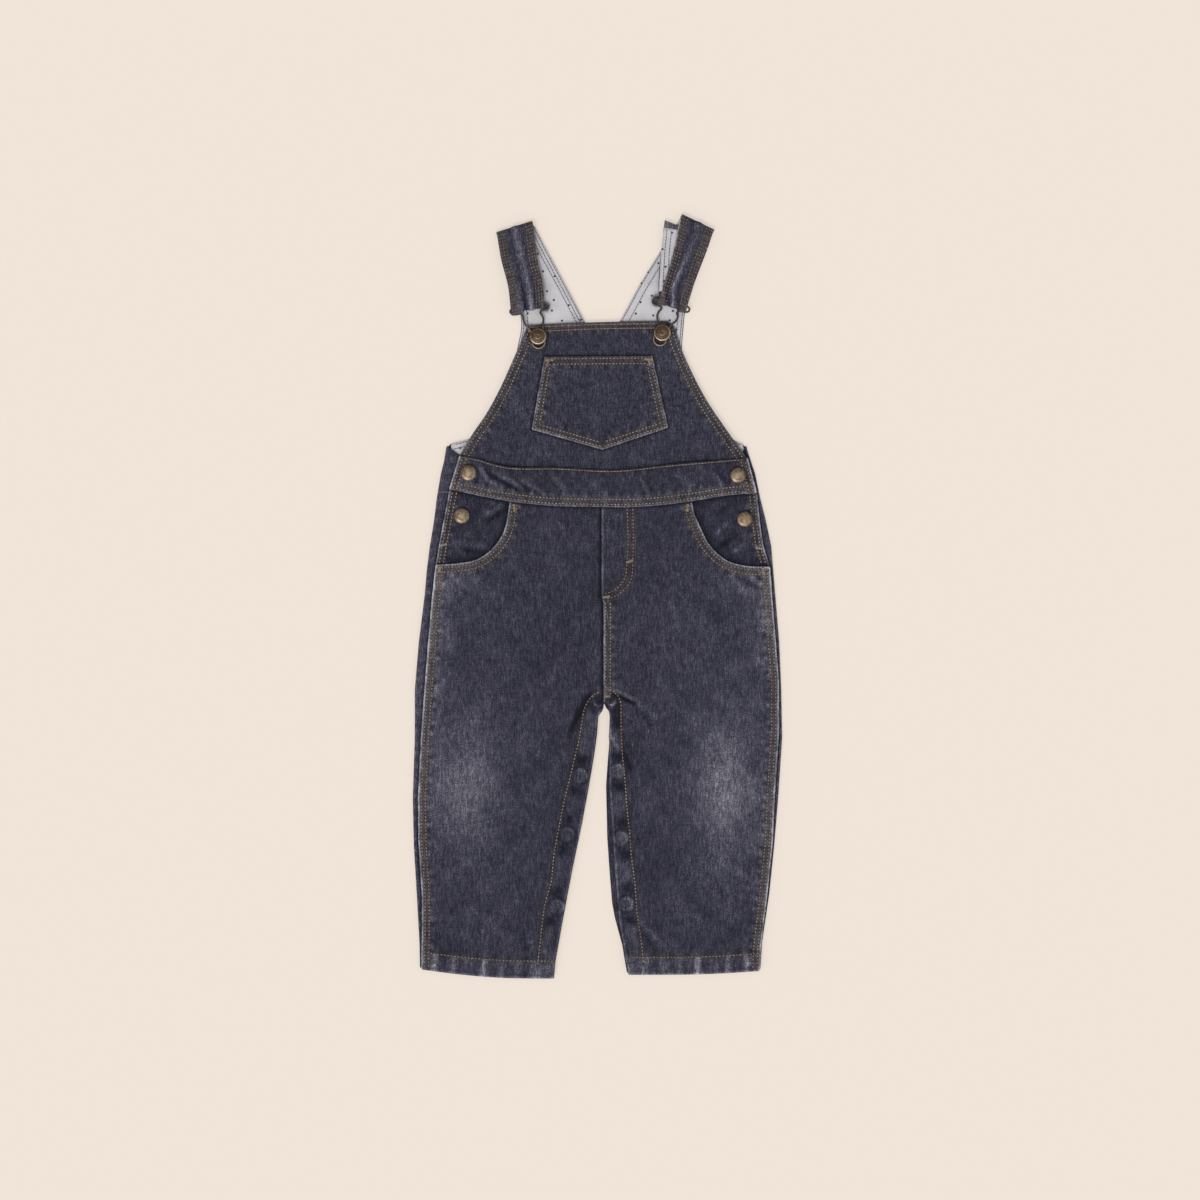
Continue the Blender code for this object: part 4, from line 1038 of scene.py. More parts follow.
def tack(pile, name, place):
    """A piece's bar tacks: close stitches side by side across a short bar."""
    for x, y, angle, length in TACKS[name]:
        direction = np.array((math.cos(math.radians(angle)), math.sin(math.radians(angle))))
        across = np.array((-direction[1], direction[0])) * TACK_HALF_WIDTH
        count = int(length / TACK_STEP)
        for k in range(count):
            centre = np.array((x, y)) + direction * (k - (count - 1) / 2) * TACK_STEP
            ends = on_top(np.array((centre - across, centre + across)), place)
            pile.add(ends[0], ends[1], (0.0, 0.0, 1.0), TACK_TONE)


def side_of(side):
    """A side's column in the tables of rows, and the sign of its X."""
    return (1, -1.0) if side == "left" else (2, 1.0)


def clear_of_lap(side, x):
    """The right leg's edges stand off the middle ones by the gap."""
    return x if side == "left" else x + GAP


def opening_of(side, step=5.0):
    return curve_through(OPENINGS[side], step)


def opening_raise(points, side):
    return LAP * lap(distance_to(points, opening_of(side, 7.0)), FACING_TUCK + 3.0, FACING_TUCK + 14.0)


def rounded_edge(points, outline):
    """How much the cloth dips where it ends."""
    closed = np.vstack((outline, outline[:1]))
    return 0.28 * bell(distance_to(points, closed), 0.7)


def contact_shadow(points, edge, reach=1.3):
    """Painted shadow: a dark line on cloth along the edge of another piece that lies on it."""
    return bump_on_line(points, edge, reach)


def edge_guides(edge, outline, offsets=(-1.6, -0.6, 0.6, 1.6)):
    return rows_inside([shifted(edge, offset) for offset in offsets], outline)


def seam_relief(points, edge, rows, depth=0.2, pucker=0.16, wave=7.0, seed=0.0):
    """The band beside a stitched edge: thicker cloth, sunk at each row and puckered along it."""
    off, at = along(points, edge)
    last = rows[-1]
    band = lap(off, last - 0.4, last + 2.2)
    height = BAND_RELIEF * 0.6 * band
    for row in rows:
        height -= depth * bell(off - row, 0.75)
    beat = ripple(at, wave, seed)
    return height + pucker * beat * lap(off, last, last + 5.0)


def rim_of(off, width=RIM_WIDTH):
    """A light line along an edge, even in width and soft on its inner side."""
    return bell(np.maximum(off, 0.0), width, 6)


def seam_wear_and_shade(points, edge, rows, strength=0.5, wave=7.0, seed=0.0):
    """A pale edge, and pale beads on the puckers beside a stitched band, partly rubbed cloth and partly
    painted highlight, with painted shade in the hollows between the beads and along each sunk row.
    """
    off, at = along(points, edge)
    last = rows[-1]
    beat = beat_of(at, wave, seed)
    rim = rim_of(off) * (0.8 + 0.2 * ripple(at, 23.0, seed + 0.7))
    ticks = bell(off - last - 2.2, 1.8) * beat ** 2
    wear_and_light = strength * (2.2 * rim + 0.12 * lap(off, last, last + 1.0)) + (0.5 * strength + 0.22) * ticks
    dark = 0.6 * bell(off - last - 2.0, 2.2) * (1 - beat) ** 2
    for row in rows:
        dark = dark + 0.22 * bell(off - row, 0.8)
    return wear_and_light, dark


def total(*pairs):
    return sum(pair[0] for pair in pairs), sum(pair[1] for pair in pairs)


def fades(points):
    wear_and_light = np.zeros(len(points))
    for x, y, wide, high, strength in FADES:
        off = ((points[:, 0] - x) / wide) ** 2 + ((points[:, 1] - y) / high) ** 2
        wear_and_light += strength * np.exp(-0.8 * off)
    return wear_and_light


def fold_wear_and_shade(points, folds, strength):
    """Ridges are made pale, partly rubbed cloth and partly painted highlight, and troughs get painted shade.
    """
    height = fold_height(points, folds)
    return strength * np.clip(height, 0.0, 1.0), 2.2 * strength * np.clip(-height, 0.0, 1.0)


def underside(points, rows, lift=0.2):
    """The lowest face is drawn up a little along its seams and between its soft puckers."""
    z = 0.5 * lift * (1.0 + unevenness(points, 19.0, 2.0))
    for row in rows:
        z = z + lift * bump_on_line(points, row, 1.2)
    return z


def front_outline(side, step):
    column, sign = side_of(side)
    hem = curve_through(HEMS[side], step)
    inseam = rows_line(INSEAM_ROWS, column, CROTCH_Y, hem[-1][1] + 2.0, step)[::-1]
    seam_x = clear_of_lap(side, CROTCH_SEAM_X)
    fly_x = clear_of_lap(side, FLY_EDGE_X)
    middle = ((seam_x, CROTCH_Y + 3.0), (seam_x, FLY_FOOT_Y - 5.0), (fly_x, FLY_FOOT_Y), (fly_x, 66.8 + TUCK))
    centre = dense(middle, step)
    opening = opening_of(side, step)
    top_x = opening[0][0] - sign * 0.5
    waist = ((sign * 36.0, 67.5 + TUCK), (top_x, opening[0][1] + TUCK))
    seam = rows_line(FRONT_SIDE_ROWS, column, opening[-1][1] - 1.0, hem[0][1] + 1.0, step)
    return joined(hem, inseam, centre, dense((centre[-1],) + waist, step), opening, seam)


def front_lines(side):
    """The edges of a leg front that relief, rubbed paleness and painted light and shade follow."""
    column, sign = side_of(side)
    hem = curve_through(HEMS[side], 5.0)
    edge = rows_line(FRONT_SIDE_ROWS, column, 22.0, hem[0][1], 6.0)
    inseam = rows_line(INSEAM_ROWS, column, CROTCH_Y, hem[-1][1], 6.0)
    placket = curve_through(PLACKET_ROWS[side], 5.0)
    seam_x = clear_of_lap(side, CROTCH_SEAM_X)
    crotch = np.array(((seam_x, -4.0), (seam_x, CROTCH_Y)))
    return {"hem": hem, "edge": edge, "inseam": inseam, "placket": placket, "crotch": crotch}


SIDE_STITCHES = (2.3, 5.4)
OPENING_STITCHES = (2.3, 5.6)
CROTCH_STITCHES = (1.3, 4.9)
HEM_WAVE = 12.5


def placket_bars(points, side, width=BAR_WIDTH):
    """The troughs that pull across the placket on both sides of each snap."""
    bars = np.zeros(len(points))
    for x, y in SNAP_MARKS[side]:
        for off in (-BAR_OFF_SNAP, BAR_OFF_SNAP):
            bars = np.maximum(bars, bell(points[:, 1] - y - off, width))
    return bars


def front_place(side, outline):
    lines = front_lines(side)
    opening = opening_of(side)

    def place(points):
        z = FRONT_REST + opening_raise(points, side) + fold_height(points, FRONT_FOLDS)
        z = z + fold_height(points, FRONT_CREASES)
        z = z + 0.16 * unevenness(points, 17.0, 1.0) + 0.05 * unevenness(points, 5.0, 2.0)
        z = z + seam_relief(points, lines["edge"], SIDE_STITCHES, pucker=0.2, seed=1.0)
        z = z + seam_relief(points, opening, OPENING_STITCHES, pucker=0.14, seed=2.0)
        off, at = along(points, lines["hem"])
        hem = lap(off, HEM_BAND - 0.6, HEM_BAND + 1.2)
        wave = ripple(at, HEM_WAVE, 3.0)
        z = z + hem * (BAND_RELIEF + 0.22 * wave) - 0.2 * bell(off - HEM_BAND, 0.8)
        z = z + 0.18 * wave * lap(off, HEM_BAND, HEM_BAND + 9.0)
        off, at = along(points, lines["placket"])
        inner = distance_to(points, lines["inseam"])
        band = lap(off, 3.0, 16.0) * lap(inner, 9.0, 16.0)
        z = z + band * (0.10 + 0.14 * ripple(at, 10.0, 4.0)) - 0.2 * bell(off, 0.8)
        z = z - 0.4 * band * placket_bars(points, side)
        for marks, radius, rise, top, dip, floor, wall in PRESSED_MARKS:
            for x, y in marks[side]:
                from_snap = np.hypot(points[:, 0] - x, points[:, 1] - y)
                z = z + rise * lap(from_snap, radius - top, radius + MARK_SPREAD)
                z = z - dip * lap(from_snap, radius - floor, radius - wall)
        if side == "right":
            fly = inside(points, FLY_AREA)
            rim = distance_to(points, curve_through(FLY_J_OUTER, 4.0))
            z = z + 0.35 * np.where(fly, 1.0, lap(rim, 0.0, 1.6))
            for row in (FLY_J, FLY_J_OUTER):
                z = z - 0.18 * bump_on_line(points, curve_through(row, 4.0), 0.8)
            z = z + seam_relief(points, lines["crotch"], CROTCH_STITCHES, pucker=0.14, seed=5.0)
        return np.column_stack((points, z - rounded_edge(points, outline)))

    return place


FLY_AREA = np.vstack((curve_through(FLY_J_OUTER, 4.0), ((2.0, -2.4), (2.0, 75.0), (26.0, 75.0))))


def around(points, centre, contrast, towards):
    """Distance from a centre, and a ring's light, strongest in the direction of an angle."""
    away = points - centre
    turned = np.cos(np.arctan2(away[:, 1], away[:, 0]) - towards)
    return np.hypot(*away.T), np.clip(1.0 - contrast + contrast * turned, 0.0, 1.0)


def front_looks(side):
    lines = front_lines(side)
    opening = opening_of(side)
    waist = curve_through(WAIST_LOWER, 5.0)

    def looks(points):
        none = np.zeros(len(points))
        pairs = [
            (fades(points), none),
            seam_wear_and_shade(points, lines["edge"], SIDE_STITCHES, 0.46, seed=1.0),
            seam_wear_and_shade(points, opening, OPENING_STITCHES, 0.44, seed=2.0),
            fold_wear_and_shade(points, FRONT_CREASES, 0.4),
            fold_wear_and_shade(points, FRONT_FOLDS, 0.10),
            # Painted shadow under the waist panel's lower edge.
            (none, contact_shadow(points, waist)),
        ]
        off, at = along(points, lines["hem"])
        beat = beat_of(at, HEM_WAVE, 3.0)
        band = lap(off, HEM_BAND - 1.0, HEM_BAND + 0.6)
        rim = rim_of(off)
        ticks = bell(off - HEM_BAND - 1.6, 1.5)
        # Pale beads on the hem's waves, partly rubbed cloth and partly painted highlight; painted shade fills
        # the hollows between them.
        pairs.append((band * (0.17 + 0.75 * beat ** 4) + 0.4 * rim + 0.25 * ticks * beat ** 2, none))
        pairs.append((none, 0.4 * band * (1 - beat) ** 2 + 0.6 * ticks * (1 - beat) ** 1.5))
        off, at = along(points, lines["placket"])
        inner = distance_to(points, lines["inseam"])
        beat = beat_of(at, 10.0, 4.0)
        band = lap(off, 4.0, 14.0) * lap(inner, 9.0, 15.0)
        rim = bell(inner - 0.9, 0.8, 4) * (points[:, 1] < -84.0)
        bars = placket_bars(points, side)
        shoulder = placket_bars(points, side, 7.0) - bars
        rubbed = 0.10 + 0.16 * beat + 0.25 * shoulder
        # Painted shade fills the troughs across the placket, and their flanks are made paler.
        pairs.append((band * (1 - bars) * rubbed + 0.4 * rim, 0.95 * band * bars))
        # Painted shade along the sunk placket row.
        pairs.append((none, 0.45 * bell(off, 1.6) * (points[:, 1] < -80.0)))
        # Painted highlight on each snap's ring, strongest on one side, and painted shade in a ring just
        # outside it.
        for mark in SNAP_MARKS[side]:
            from_snap, lit = around(points, mark, 0.65, 0.7)
            ring = bell(from_snap - SNAP_RADIUS + 0.4, 0.8) * lit
            pairs.append((0.55 * ring, 0.6 * bell(from_snap - SNAP_RADIUS - 1.6, 1.0)))
        # Painted highlight on each crotch mark's ring, strongest on one side, and painted shade across the
        # rest of the mark.
        for mark in CROTCH_MARKS[side]:
            from_snap, lit = around(points, mark, 0.55, -1.2)
            ring = bell(from_snap - CROTCH_RADIUS, 0.7) * lit
            pairs.append((0.9 * ring, 0.7 * bell(from_snap, 4.8, 4) * (1 - ring)))
        # Painted shade under the folds at the crotch.
        for x1, y1, x2, y2, width, deep in CROTCH_SHADES[side]:
            line = np.array(((x1, y1), (x2, y2)))
            pairs.append((none, deep * bell(distance_to(points, line), width)))
        if side == "right":
            x = FLY_EDGE_X + GAP
            rim = rim_of(points[:, 0] - x) * (points[:, 1] > -3.0)
            pairs.append((0.5 * rim, none))
            pairs.append(seam_wear_and_shade(points, lines["crotch"], CROTCH_STITCHES, 0.4, seed=5.0))
            # Pale beads beside the fly rows, and painted shade along each sunk row.
            for row in (FLY_J, FLY_J_OUTER):
                curve = curve_through(row, 4.0)
                off, at = along(points, curve)
                outside = 1.0 - inside(points, FLY_AREA) * 1.0
                beat = beat_of(at, 7.0, 3.0)
                tick = bell(off - 1.8, 1.3) * outside * beat ** 2
                pairs.append((0.2 * tick, 0.25 * bell(off, 0.9)))
        else:
            # Painted shadow along the right leg's edge, which laps over this leg.
            below = ((CROTCH_SEAM_X, FLY_FOOT_Y - 5.0), (CROTCH_SEAM_X, CROTCH_Y))
            lapped = np.array(((FLY_EDGE_X, 75.0), (FLY_EDGE_X, FLY_FOOT_Y)) + below)
            lap_shadow = bell(distance_to(points, lapped) - 0.5, 1.3)
            pairs.append((none, 1.5 * lap_shadow))
        wear_and_light, dark = total(*pairs)
        blotch = unevenness(points, 11.0, 6.0)
        wear_and_light = wear_and_light + 0.05 * unevenness(points, 24.0, 6.0) + 0.05 * blotch
        return wear_and_light, dark + 0.12 * np.clip(-blotch, 0.0, 1.0)

    return looks


# The sewn rows' tones: two down the side, two round the opening, the hem, the placket, and the right
# leg's two curved fly rows and two crotch rows
FRONT_ROW_TONES = (-0.1, -0.1, -0.14, -0.14, -0.22, 0.0, -0.22, -0.22, 0.0, 0.0)
# Guides beside the waist panel's lower edge
UNDER_WAIST = (-1.4, -0.5, 0.6)


def add_fronts(material, thread):
    for side in ("left", "right"):
        column, sign = side_of(side)
        outline = front_outline(side, FINE)
        place = front_place(side, outline)
        lines = front_lines(side)
        edge = rows_line(FRONT_SIDE_ROWS, column, 22.0, lines["hem"][0][1] - 2.0, 2.0)
        rows = [edge - (sign * row, 0.0) for row in SIDE_STITCHES]
        opening = opening_of(side, 2.0)
        rows += [shifted(opening, -sign * row) for row in OPENING_STITCHES]
        hem = curve_through(HEMS[side], 2.0) + (0.0, HEM_BAND)
        rows.append(hem)
        rows.append(curve_through(PLACKET_ROWS[side], 2.0))
        if side == "right":
            rows += [curve_through(FLY_J, 2.0), curve_through(FLY_J_OUTER, 2.0)]
            for row in CROTCH_STITCHES:
                x = CROTCH_SEAM_X + GAP + row
                rows.append(dense(((x, -4.4), (x, CROTCH_Y + 4.0)), 2.0))
        guides = rim_guides(outline) + rows_inside(rows, outline)
        guides += edge_guides(curve_through(WAIST_LOWER, 2.0), outline, UNDER_WAIST)
        name = f"front_{side}"
        add_sheet(name, outline, FINE, place, front_looks(side), material, guides, rows)
        for row, tone in zip(rows, FRONT_ROW_TONES):
            sew(thread, [row], place, outline, extra=tone)
        tack(thread, name, place)


def add_facings(material, thread):
    for side in ("left", "right"):
        column, sign = side_of(side)
        opening = opening_of(side, FINE * 1.5)
        hidden = shifted(opening, -sign * FACING_TUCK)[1:-1]
        top = WAIST_SEAM_Y + TUCK + 3.0
        seam = rows_line(FRONT_SIDE_ROWS, column, top, opening[-1][1] - TUCK, FINE)
        corner = opening[0] - (sign * 3.0, -8.0)
        waist = (seam[0], seam[0] - (sign * 20.0, 3.0), corner)
        outline = joined(seam, hidden[::-1], dense(waist, FINE)[::-1])
        edge = rows_line(FRONT_SIDE_ROWS, column, top, opening[-1][1] - TUCK, 5.0)
        mouth = opening_of(side)

        def place(points, edge=edge, outline=outline):
            inner = lap(-distance_to(points, mouth), -12.0, -5.0)
            z = FRONT_REST + fold_height(points, FACING_FOLDS) * inner
            z = z + 0.7 * seam_relief(points, edge, SIDE_STITCHES, seed=7.0)
            z = z + 0.06 * unevenness(points, 9.0, 8.0)
            return np.column_stack((points, z - rounded_edge(points, outline)))

        def looks(points, edge=edge, mouth=mouth):
            off = distance_to(points, mouth)
            # Painted shadow under the front's edge along the opening, and near the waist panel's lower edge.
            under = 0.5 * bell(off, 4.5) + 0.8 * bell(off, 1.2)
            waist = curve_through(WAIST_LOWER, 5.0)
            above = 0.4 * bell(distance_to(points, waist), 4.0)
            blotch = unevenness(points, 7.0, 3.0)
            return total(
                seam_wear_and_shade(points, edge, SIDE_STITCHES, 0.5, seed=7.0),
                fold_wear_and_shade(points, FACING_FOLDS, 0.5),
                (0.20 * np.clip(blotch, 0, 1), 0.3 * np.clip(-blotch, 0, 1) + 0.08 + under + above),
                # Painted shadow under the waist panel's lower edge.
                (np.zeros(len(points)), contact_shadow(points, waist)),
            )

        side_row = rows_line(FRONT_SIDE_ROWS, column, WAIST_SEAM_Y, 24.0, 2.0)
        rows = [side_row - (sign * row, 0.0) for row in SIDE_STITCHES]
        guides = rim_guides(outline) + rows_inside(rows, outline)
        guides += edge_guides(curve_through(WAIST_LOWER, 2.0), outline, UNDER_WAIST)
        guides += edge_guides(opening_of(side, 2.0), outline, (sign * 0.6, sign * 1.6))
        name = f"pocket_facing_{side}"
        add_sheet(name, outline, FINE, place, looks, material, guides, rows)
        sew(thread, rows, place, outline)
        tack(thread, name, place)


WAIST_TOP_STITCH = 1.2
WAIST_BAND_STITCHES = (1.9, 5.6)


def add_waist_panel(material, thread):
    lower = curve_through(WAIST_LOWER, 5.0)
    upper = curve_through(WAIST_UPPER, 5.0)
    ends = (dense((lower[-1], upper[-1]), FINE), dense((upper[0], lower[0]), FINE))
    top_edge = curve_through(WAIST_UPPER, FINE)[::-1]
    outline = joined(curve_through(WAIST_LOWER, FINE), ends[0], top_edge, ends[1])

    def place(points):
        z = WAIST_REST + fold_height(points, WAIST_FOLDS)
        for side in ("left", "right"):
            mouth = np.array(OPENINGS[side][0]) + np.array(((0.0, -8.0), (0.0, 14.0)))
            z = z + LAP * lap(distance_to(points, mouth), FACING_TUCK + 9.0, FACING_TUCK + 22.0)
        off, at = along(points, lower)
        beat = ripple(at, 8.0, 9.0)
        z = z + lap(off, WAIST_BAND - 1.0, WAIST_BAND + 1.0) * (BAND_RELIEF + 0.16 * beat)
        for row in WAIST_BAND_STITCHES:
            z = z - 0.2 * bell(off - row, 0.8)
        off, at = along(points, upper)
        z = z - 0.25 * bell(off - WAIST_TOP_STITCH, 0.9)
        z = z + 0.14 * ripple(at, 8.5, 2.0) * lap(off, 2.0, 8.0)
        z = z + 0.08 * unevenness(points, 9.0, 1.0)
        return np.column_stack((points, z - rounded_edge(points, outline)))

    def looks(points):
        off, at = along(points, lower)
        beat = beat_of(at, 8.0, 9.0)
        band = lap(off, WAIST_BAND - 1.0, WAIST_BAND + 1.2)
        rim = rim_of(off)
        ticks = bell(off - WAIST_BAND - 0.8, 1.9)
        # Pale beads on the puckers beside the band, partly rubbed cloth and partly painted highlight, and
        # painted shade in the hollows between them.
        wear_and_light = band * (0.12 + 0.16 * beat) + 0.32 * rim + 0.5 * ticks * beat ** 2
        dark = 0.1 * band * (1 - beat) ** 2 + 0.6 * ticks * (1 - beat) ** 2
        # Painted shade along the sunk rows.
        for row in WAIST_BAND_STITCHES:
            dark = dark + 0.22 * bell(off - row, 0.8)
        top_off, top_at = along(points, upper)
        top_beat = beat_of(top_at, 8.5, 2.0)
        # Below the top edge: pale beads on the puckers, painted shade between them, and painted shade along
        # the sunk top row.
        near_top = bell(top_off - 4.0, 2.0)
        wear_and_light = wear_and_light + 0.18 * bell(top_off, 0.8) + 0.2 * near_top * top_beat ** 2
        dark = dark + 0.4 * near_top * (1 - top_beat) ** 2
        dark = dark + 0.4 * bell(top_off - WAIST_TOP_STITCH, 0.9)
        pairs = [(wear_and_light, dark), fold_wear_and_shade(points, WAIST_FOLDS, 0.62)]
        pairs += [seam_wear_and_shade(points, end, SIDE_STITCHES, 0.6, seed=4.0) for end in ends]
        blotch = unevenness(points, 8.0, 5.0)
        pairs.append((0.07 * np.clip(blotch, 0, 1), 0.2 * np.clip(-blotch, 0, 1)))
        return total(*pairs)

    rows = [curve_through(WAIST_LOWER, 2.0) + (0.0, row) for row in WAIST_BAND_STITCHES]
    rows += [shifted(end, row) for end in ends for row in SIDE_STITCHES]
    top_row = curve_through(WAIST_UPPER, 2.0) - (0.0, WAIST_TOP_STITCH)
    guides = rim_guides(outline) + rows_inside(rows + [top_row], outline)
    add_sheet("waist_panel", outline, FINE, place, looks, material, guides, rows)
    sew(thread, rows, place, outline)
    sew(thread, [top_row], place, outline, **DARK_TOP_SEWN)


def bib_rest(y):
    low_y, high_y = 98.0, 204.0
    return FRONT_REST + (BIB_TOP_REST - FRONT_REST) * (y - low_y) / (high_y - low_y)


BIB_TOP_STITCHES = (1.6, 4.8)
BIB_SIDE_STITCHES = (2.2, 6.0)


def bib_height(points, outline):
    top = curve_through(BIB_TOP, 5.0)
    z = bib_rest(points[:, 1]) + fold_height(points, BIB_FOLDS)
    z = z + BAND_RELIEF * lap(distance_to(points, top), BIB_HEM_BAND - 0.5, BIB_HEM_BAND + 1.5)
    for row in BIB_TOP_STITCHES:
        z = z - 0.18 * bell(distance_to(points, top) - row, 0.8)
    for seed, edge in ((3.0, BIB_LEFT), (4.0, BIB_RIGHT)):
        z = z + seam_relief(points, curve_through(edge, 5.0), BIB_SIDE_STITCHES, pucker=0.16, seed=seed)
    return z + 0.10 * unevenness(points, 15.0, 3.0) - rounded_edge(points, outline)


def add_bib(material, thread):
    left = curve_through(BIB_LEFT, FINE)
    right = curve_through(BIB_RIGHT, FINE)
    top = curve_through(BIB_TOP, FINE)
    under = [(x, y - TUCK) for x, y in curve_through(WAIST_UPPER, 3.0)[1:-1]]
    corner = dense((top[-1], right[0]), FINE)
    outline = joined(left, under, right[::-1], corner[::-1], top[::-1])
    waist = curve_through(WAIST_UPPER, 5.0)

    def place(points):
        return np.column_stack((points, bib_height(points, outline)))

    def looks(points):
        pocket = np.array(BIB_POCKET + BIB_POCKET[:1])
        near = distance_to(points, pocket)
        beat = beat_of(along(points, pocket)[1], 8.0, 6.0)
        # Painted shadow along the pocket's edges and the waist panel's upper edge.
        under = contact_shadow(points, pocket) + 0.3 * contact_shadow(points, waist)
        return total(
            seam_wear_and_shade(points, curve_through(BIB_TOP, 5.0), BIB_TOP_STITCHES, 0.18, seed=1.5),
            seam_wear_and_shade(points, curve_through(BIB_LEFT, 5.0), BIB_SIDE_STITCHES, 0.24, seed=3.0),
            seam_wear_and_shade(points, curve_through(BIB_RIGHT, 5.0), BIB_SIDE_STITCHES, 0.24, seed=4.0),
            fold_wear_and_shade(points, BIB_FOLDS, 0.16),
            (0.08 * bell(near - 3.0, 1.6) * beat + 0.035 + 0.05 * unevenness(points, 13.0, 2.0), under),
        )

    rows = [curve_through(BIB_TOP, 2.0) - (0.0, row) for row in BIB_TOP_STITCHES]
    for row in BIB_SIDE_STITCHES:
        rows.append(shifted(curve_through(BIB_LEFT, 2.0), row))
        rows.append(shifted(curve_through(BIB_RIGHT, 2.0), -row))
    guides = rim_guides(outline) + rows_inside(rows, outline)
    pocket = np.array(BIB_POCKET + BIB_POCKET[:1])
    for start, end in zip(pocket[:-1], pocket[1:]):
        guides += edge_guides(dense((start, end), 2.0), outline, (-1.6, -0.6))
    guides += edge_guides(curve_through(WAIST_UPPER, 2.0), outline, (0.6, 1.6))
    add_sheet("bib_front", outline, FINE, place, looks, material, guides, rows)
    sew(thread, rows[:len(BIB_TOP_STITCHES)], place, outline, **DARK_TOP_SEWN)
    sew(thread, rows[len(BIB_TOP_STITCHES):], place, outline)
    return outline


POCKET_TOP_STITCHES = (1.5, 5.5)
POCKET_STITCHES = (1.9, 4.9)


def add_bib_pocket(material, thread, bib_outline):
    corners = np.array(BIB_POCKET)
    edges = list(zip(corners, np.roll(corners, -1, axis=0)))
    outline = joined(*[dense(edge, FINE * 0.9) for edge in edges])
    top = np.array(edges[-1])
    sides = np.array(BIB_POCKET)

    def place(points):
        z = bib_height(points, bib_outline) + LAP
        z = z + 0.7 * seam_relief(points, top, POCKET_TOP_STITCHES, pucker=0.08, seed=6.0)
        z = z + 0.7 * seam_relief(points, sides, POCKET_STITCHES, pucker=0.14, seed=7.0)
        z = z + 0.12 * unevenness(points, 12.0, 9.0) + fold_height(points, POCKET_FOLDS)
        return np.column_stack((points, z - rounded_edge(points, outline)))

    def looks(points):
        return total(
            seam_wear_and_shade(points, top, POCKET_TOP_STITCHES, 0.16, seed=6.0),
            seam_wear_and_shade(points, sides, POCKET_STITCHES, 0.34, seed=7.0),
            fold_wear_and_shade(points, POCKET_FOLDS, 0.4),
            (0.03 + 0.05 * unevenness(points, 11.0, 7.0), np.zeros(len(points))),
        )

    rows = []
    for kept, offsets in ((edges[-1:], POCKET_TOP_STITCHES), (edges[:-1], POCKET_STITCHES)):
        for start, end in kept:
            direction = (end - start) / np.hypot(*(end - start))
            inward = np.array((-direction[1], direction[0]))
            for offset in offsets:
                first = start + direction * offset * 0.8 + inward * offset
                last = end - direction * offset * 0.8 + inward * offset
                rows.append(dense((first, last), 2.0))
    guides = rim_guides(outline) + rows_inside(rows, outline)
    add_sheet("bib_pocket", outline, FINE, place, looks, material, guides, rows)
    sew(thread, rows, place, outline)
    tack(thread, "bib_pocket", place)


def wrap_side(points, side):
    column, sign = side_of(side)
    x, y = points.T
    centre = column_at(SIDE_ROWS, y, column) - sign * FOLD_RADIUS
    past = (x - centre) * sign
    turn = math.pi * FOLD_RADIUS
    angle = np.clip(past, 0.0, turn) / FOLD_RADIUS
    over = np.maximum(past - turn, 0.0)
    wrapped_x = centre + sign * (FOLD_RADIUS * np.sin(angle) - over)
    wrapped_z = FOLD_RADIUS * (1.0 - np.cos(angle))
    outside = past > 0.0
    return np.where(outside, wrapped_x, x), np.where(outside, wrapped_z, 0.0), past


def unrolled_line(side, top, bottom, step, past):
    column, sign = side_of(side)
    line = rows_line(SIDE_ROWS, column, top, bottom, step)
    line[:, 0] += sign * (past - FOLD_RADIUS)
    return line


def unrolled_end(side, top, bottom, step):
    column, sign = side_of(side)
    line = rows_line(SIDE_ROWS, column, top, bottom, step)
    centre = line[:, 0] - sign * FOLD_RADIUS
    end = column_at(FRONT_SIDE_ROWS, line[:, 1], column) - sign * (TUCK - 0.5)
    line[:, 0] = centre + sign * (math.pi * FOLD_RADIUS + (centre - end) * sign)
    return line


WRAP_STEPS = 8


def wrap_edge(side, y_over, y_flat):
    column, sign = side_of(side)
    edge = []
    for k in range(WRAP_STEPS, -1, -1):
        y = y_flat + (y_over - y_flat) * k / WRAP_STEPS
        x = column_at(SIDE_ROWS, y, column) + sign * (math.pi * FOLD_RADIUS * k / WRAP_STEPS - FOLD_RADIUS)
        edge.append((x, y))
    return np.array(edge)


def unrolled_beside(side, top, bottom, step, beyond):
    """The line on the flat back that lies just beyond the front's edge once wrapped."""
    column, sign = side_of(side)
    line = rows_line(SIDE_ROWS, column, top, bottom, step)
    centre = line[:, 0] - sign * FOLD_RADIUS
    target = column_at(FRONT_SIDE_ROWS, line[:, 1], column) + sign * beyond
    over = np.maximum((centre - target) * sign, 0.05)
    line[:, 0] = centre + sign * (math.pi * FOLD_RADIUS + over)
    return line


def wrap_guides(side, top, bottom, step, outline):
    turn = math.pi * FOLD_RADIUS
    lines = [unrolled_line(side, top, bottom, step, turn * k / WRAP_STEPS) for k in range(WRAP_STEPS + 1)]
    lines += [unrolled_beside(side, top, bottom, step, beyond) for beyond in (0.3, 1.5)]
    return rows_inside(lines, outline, 0.3)


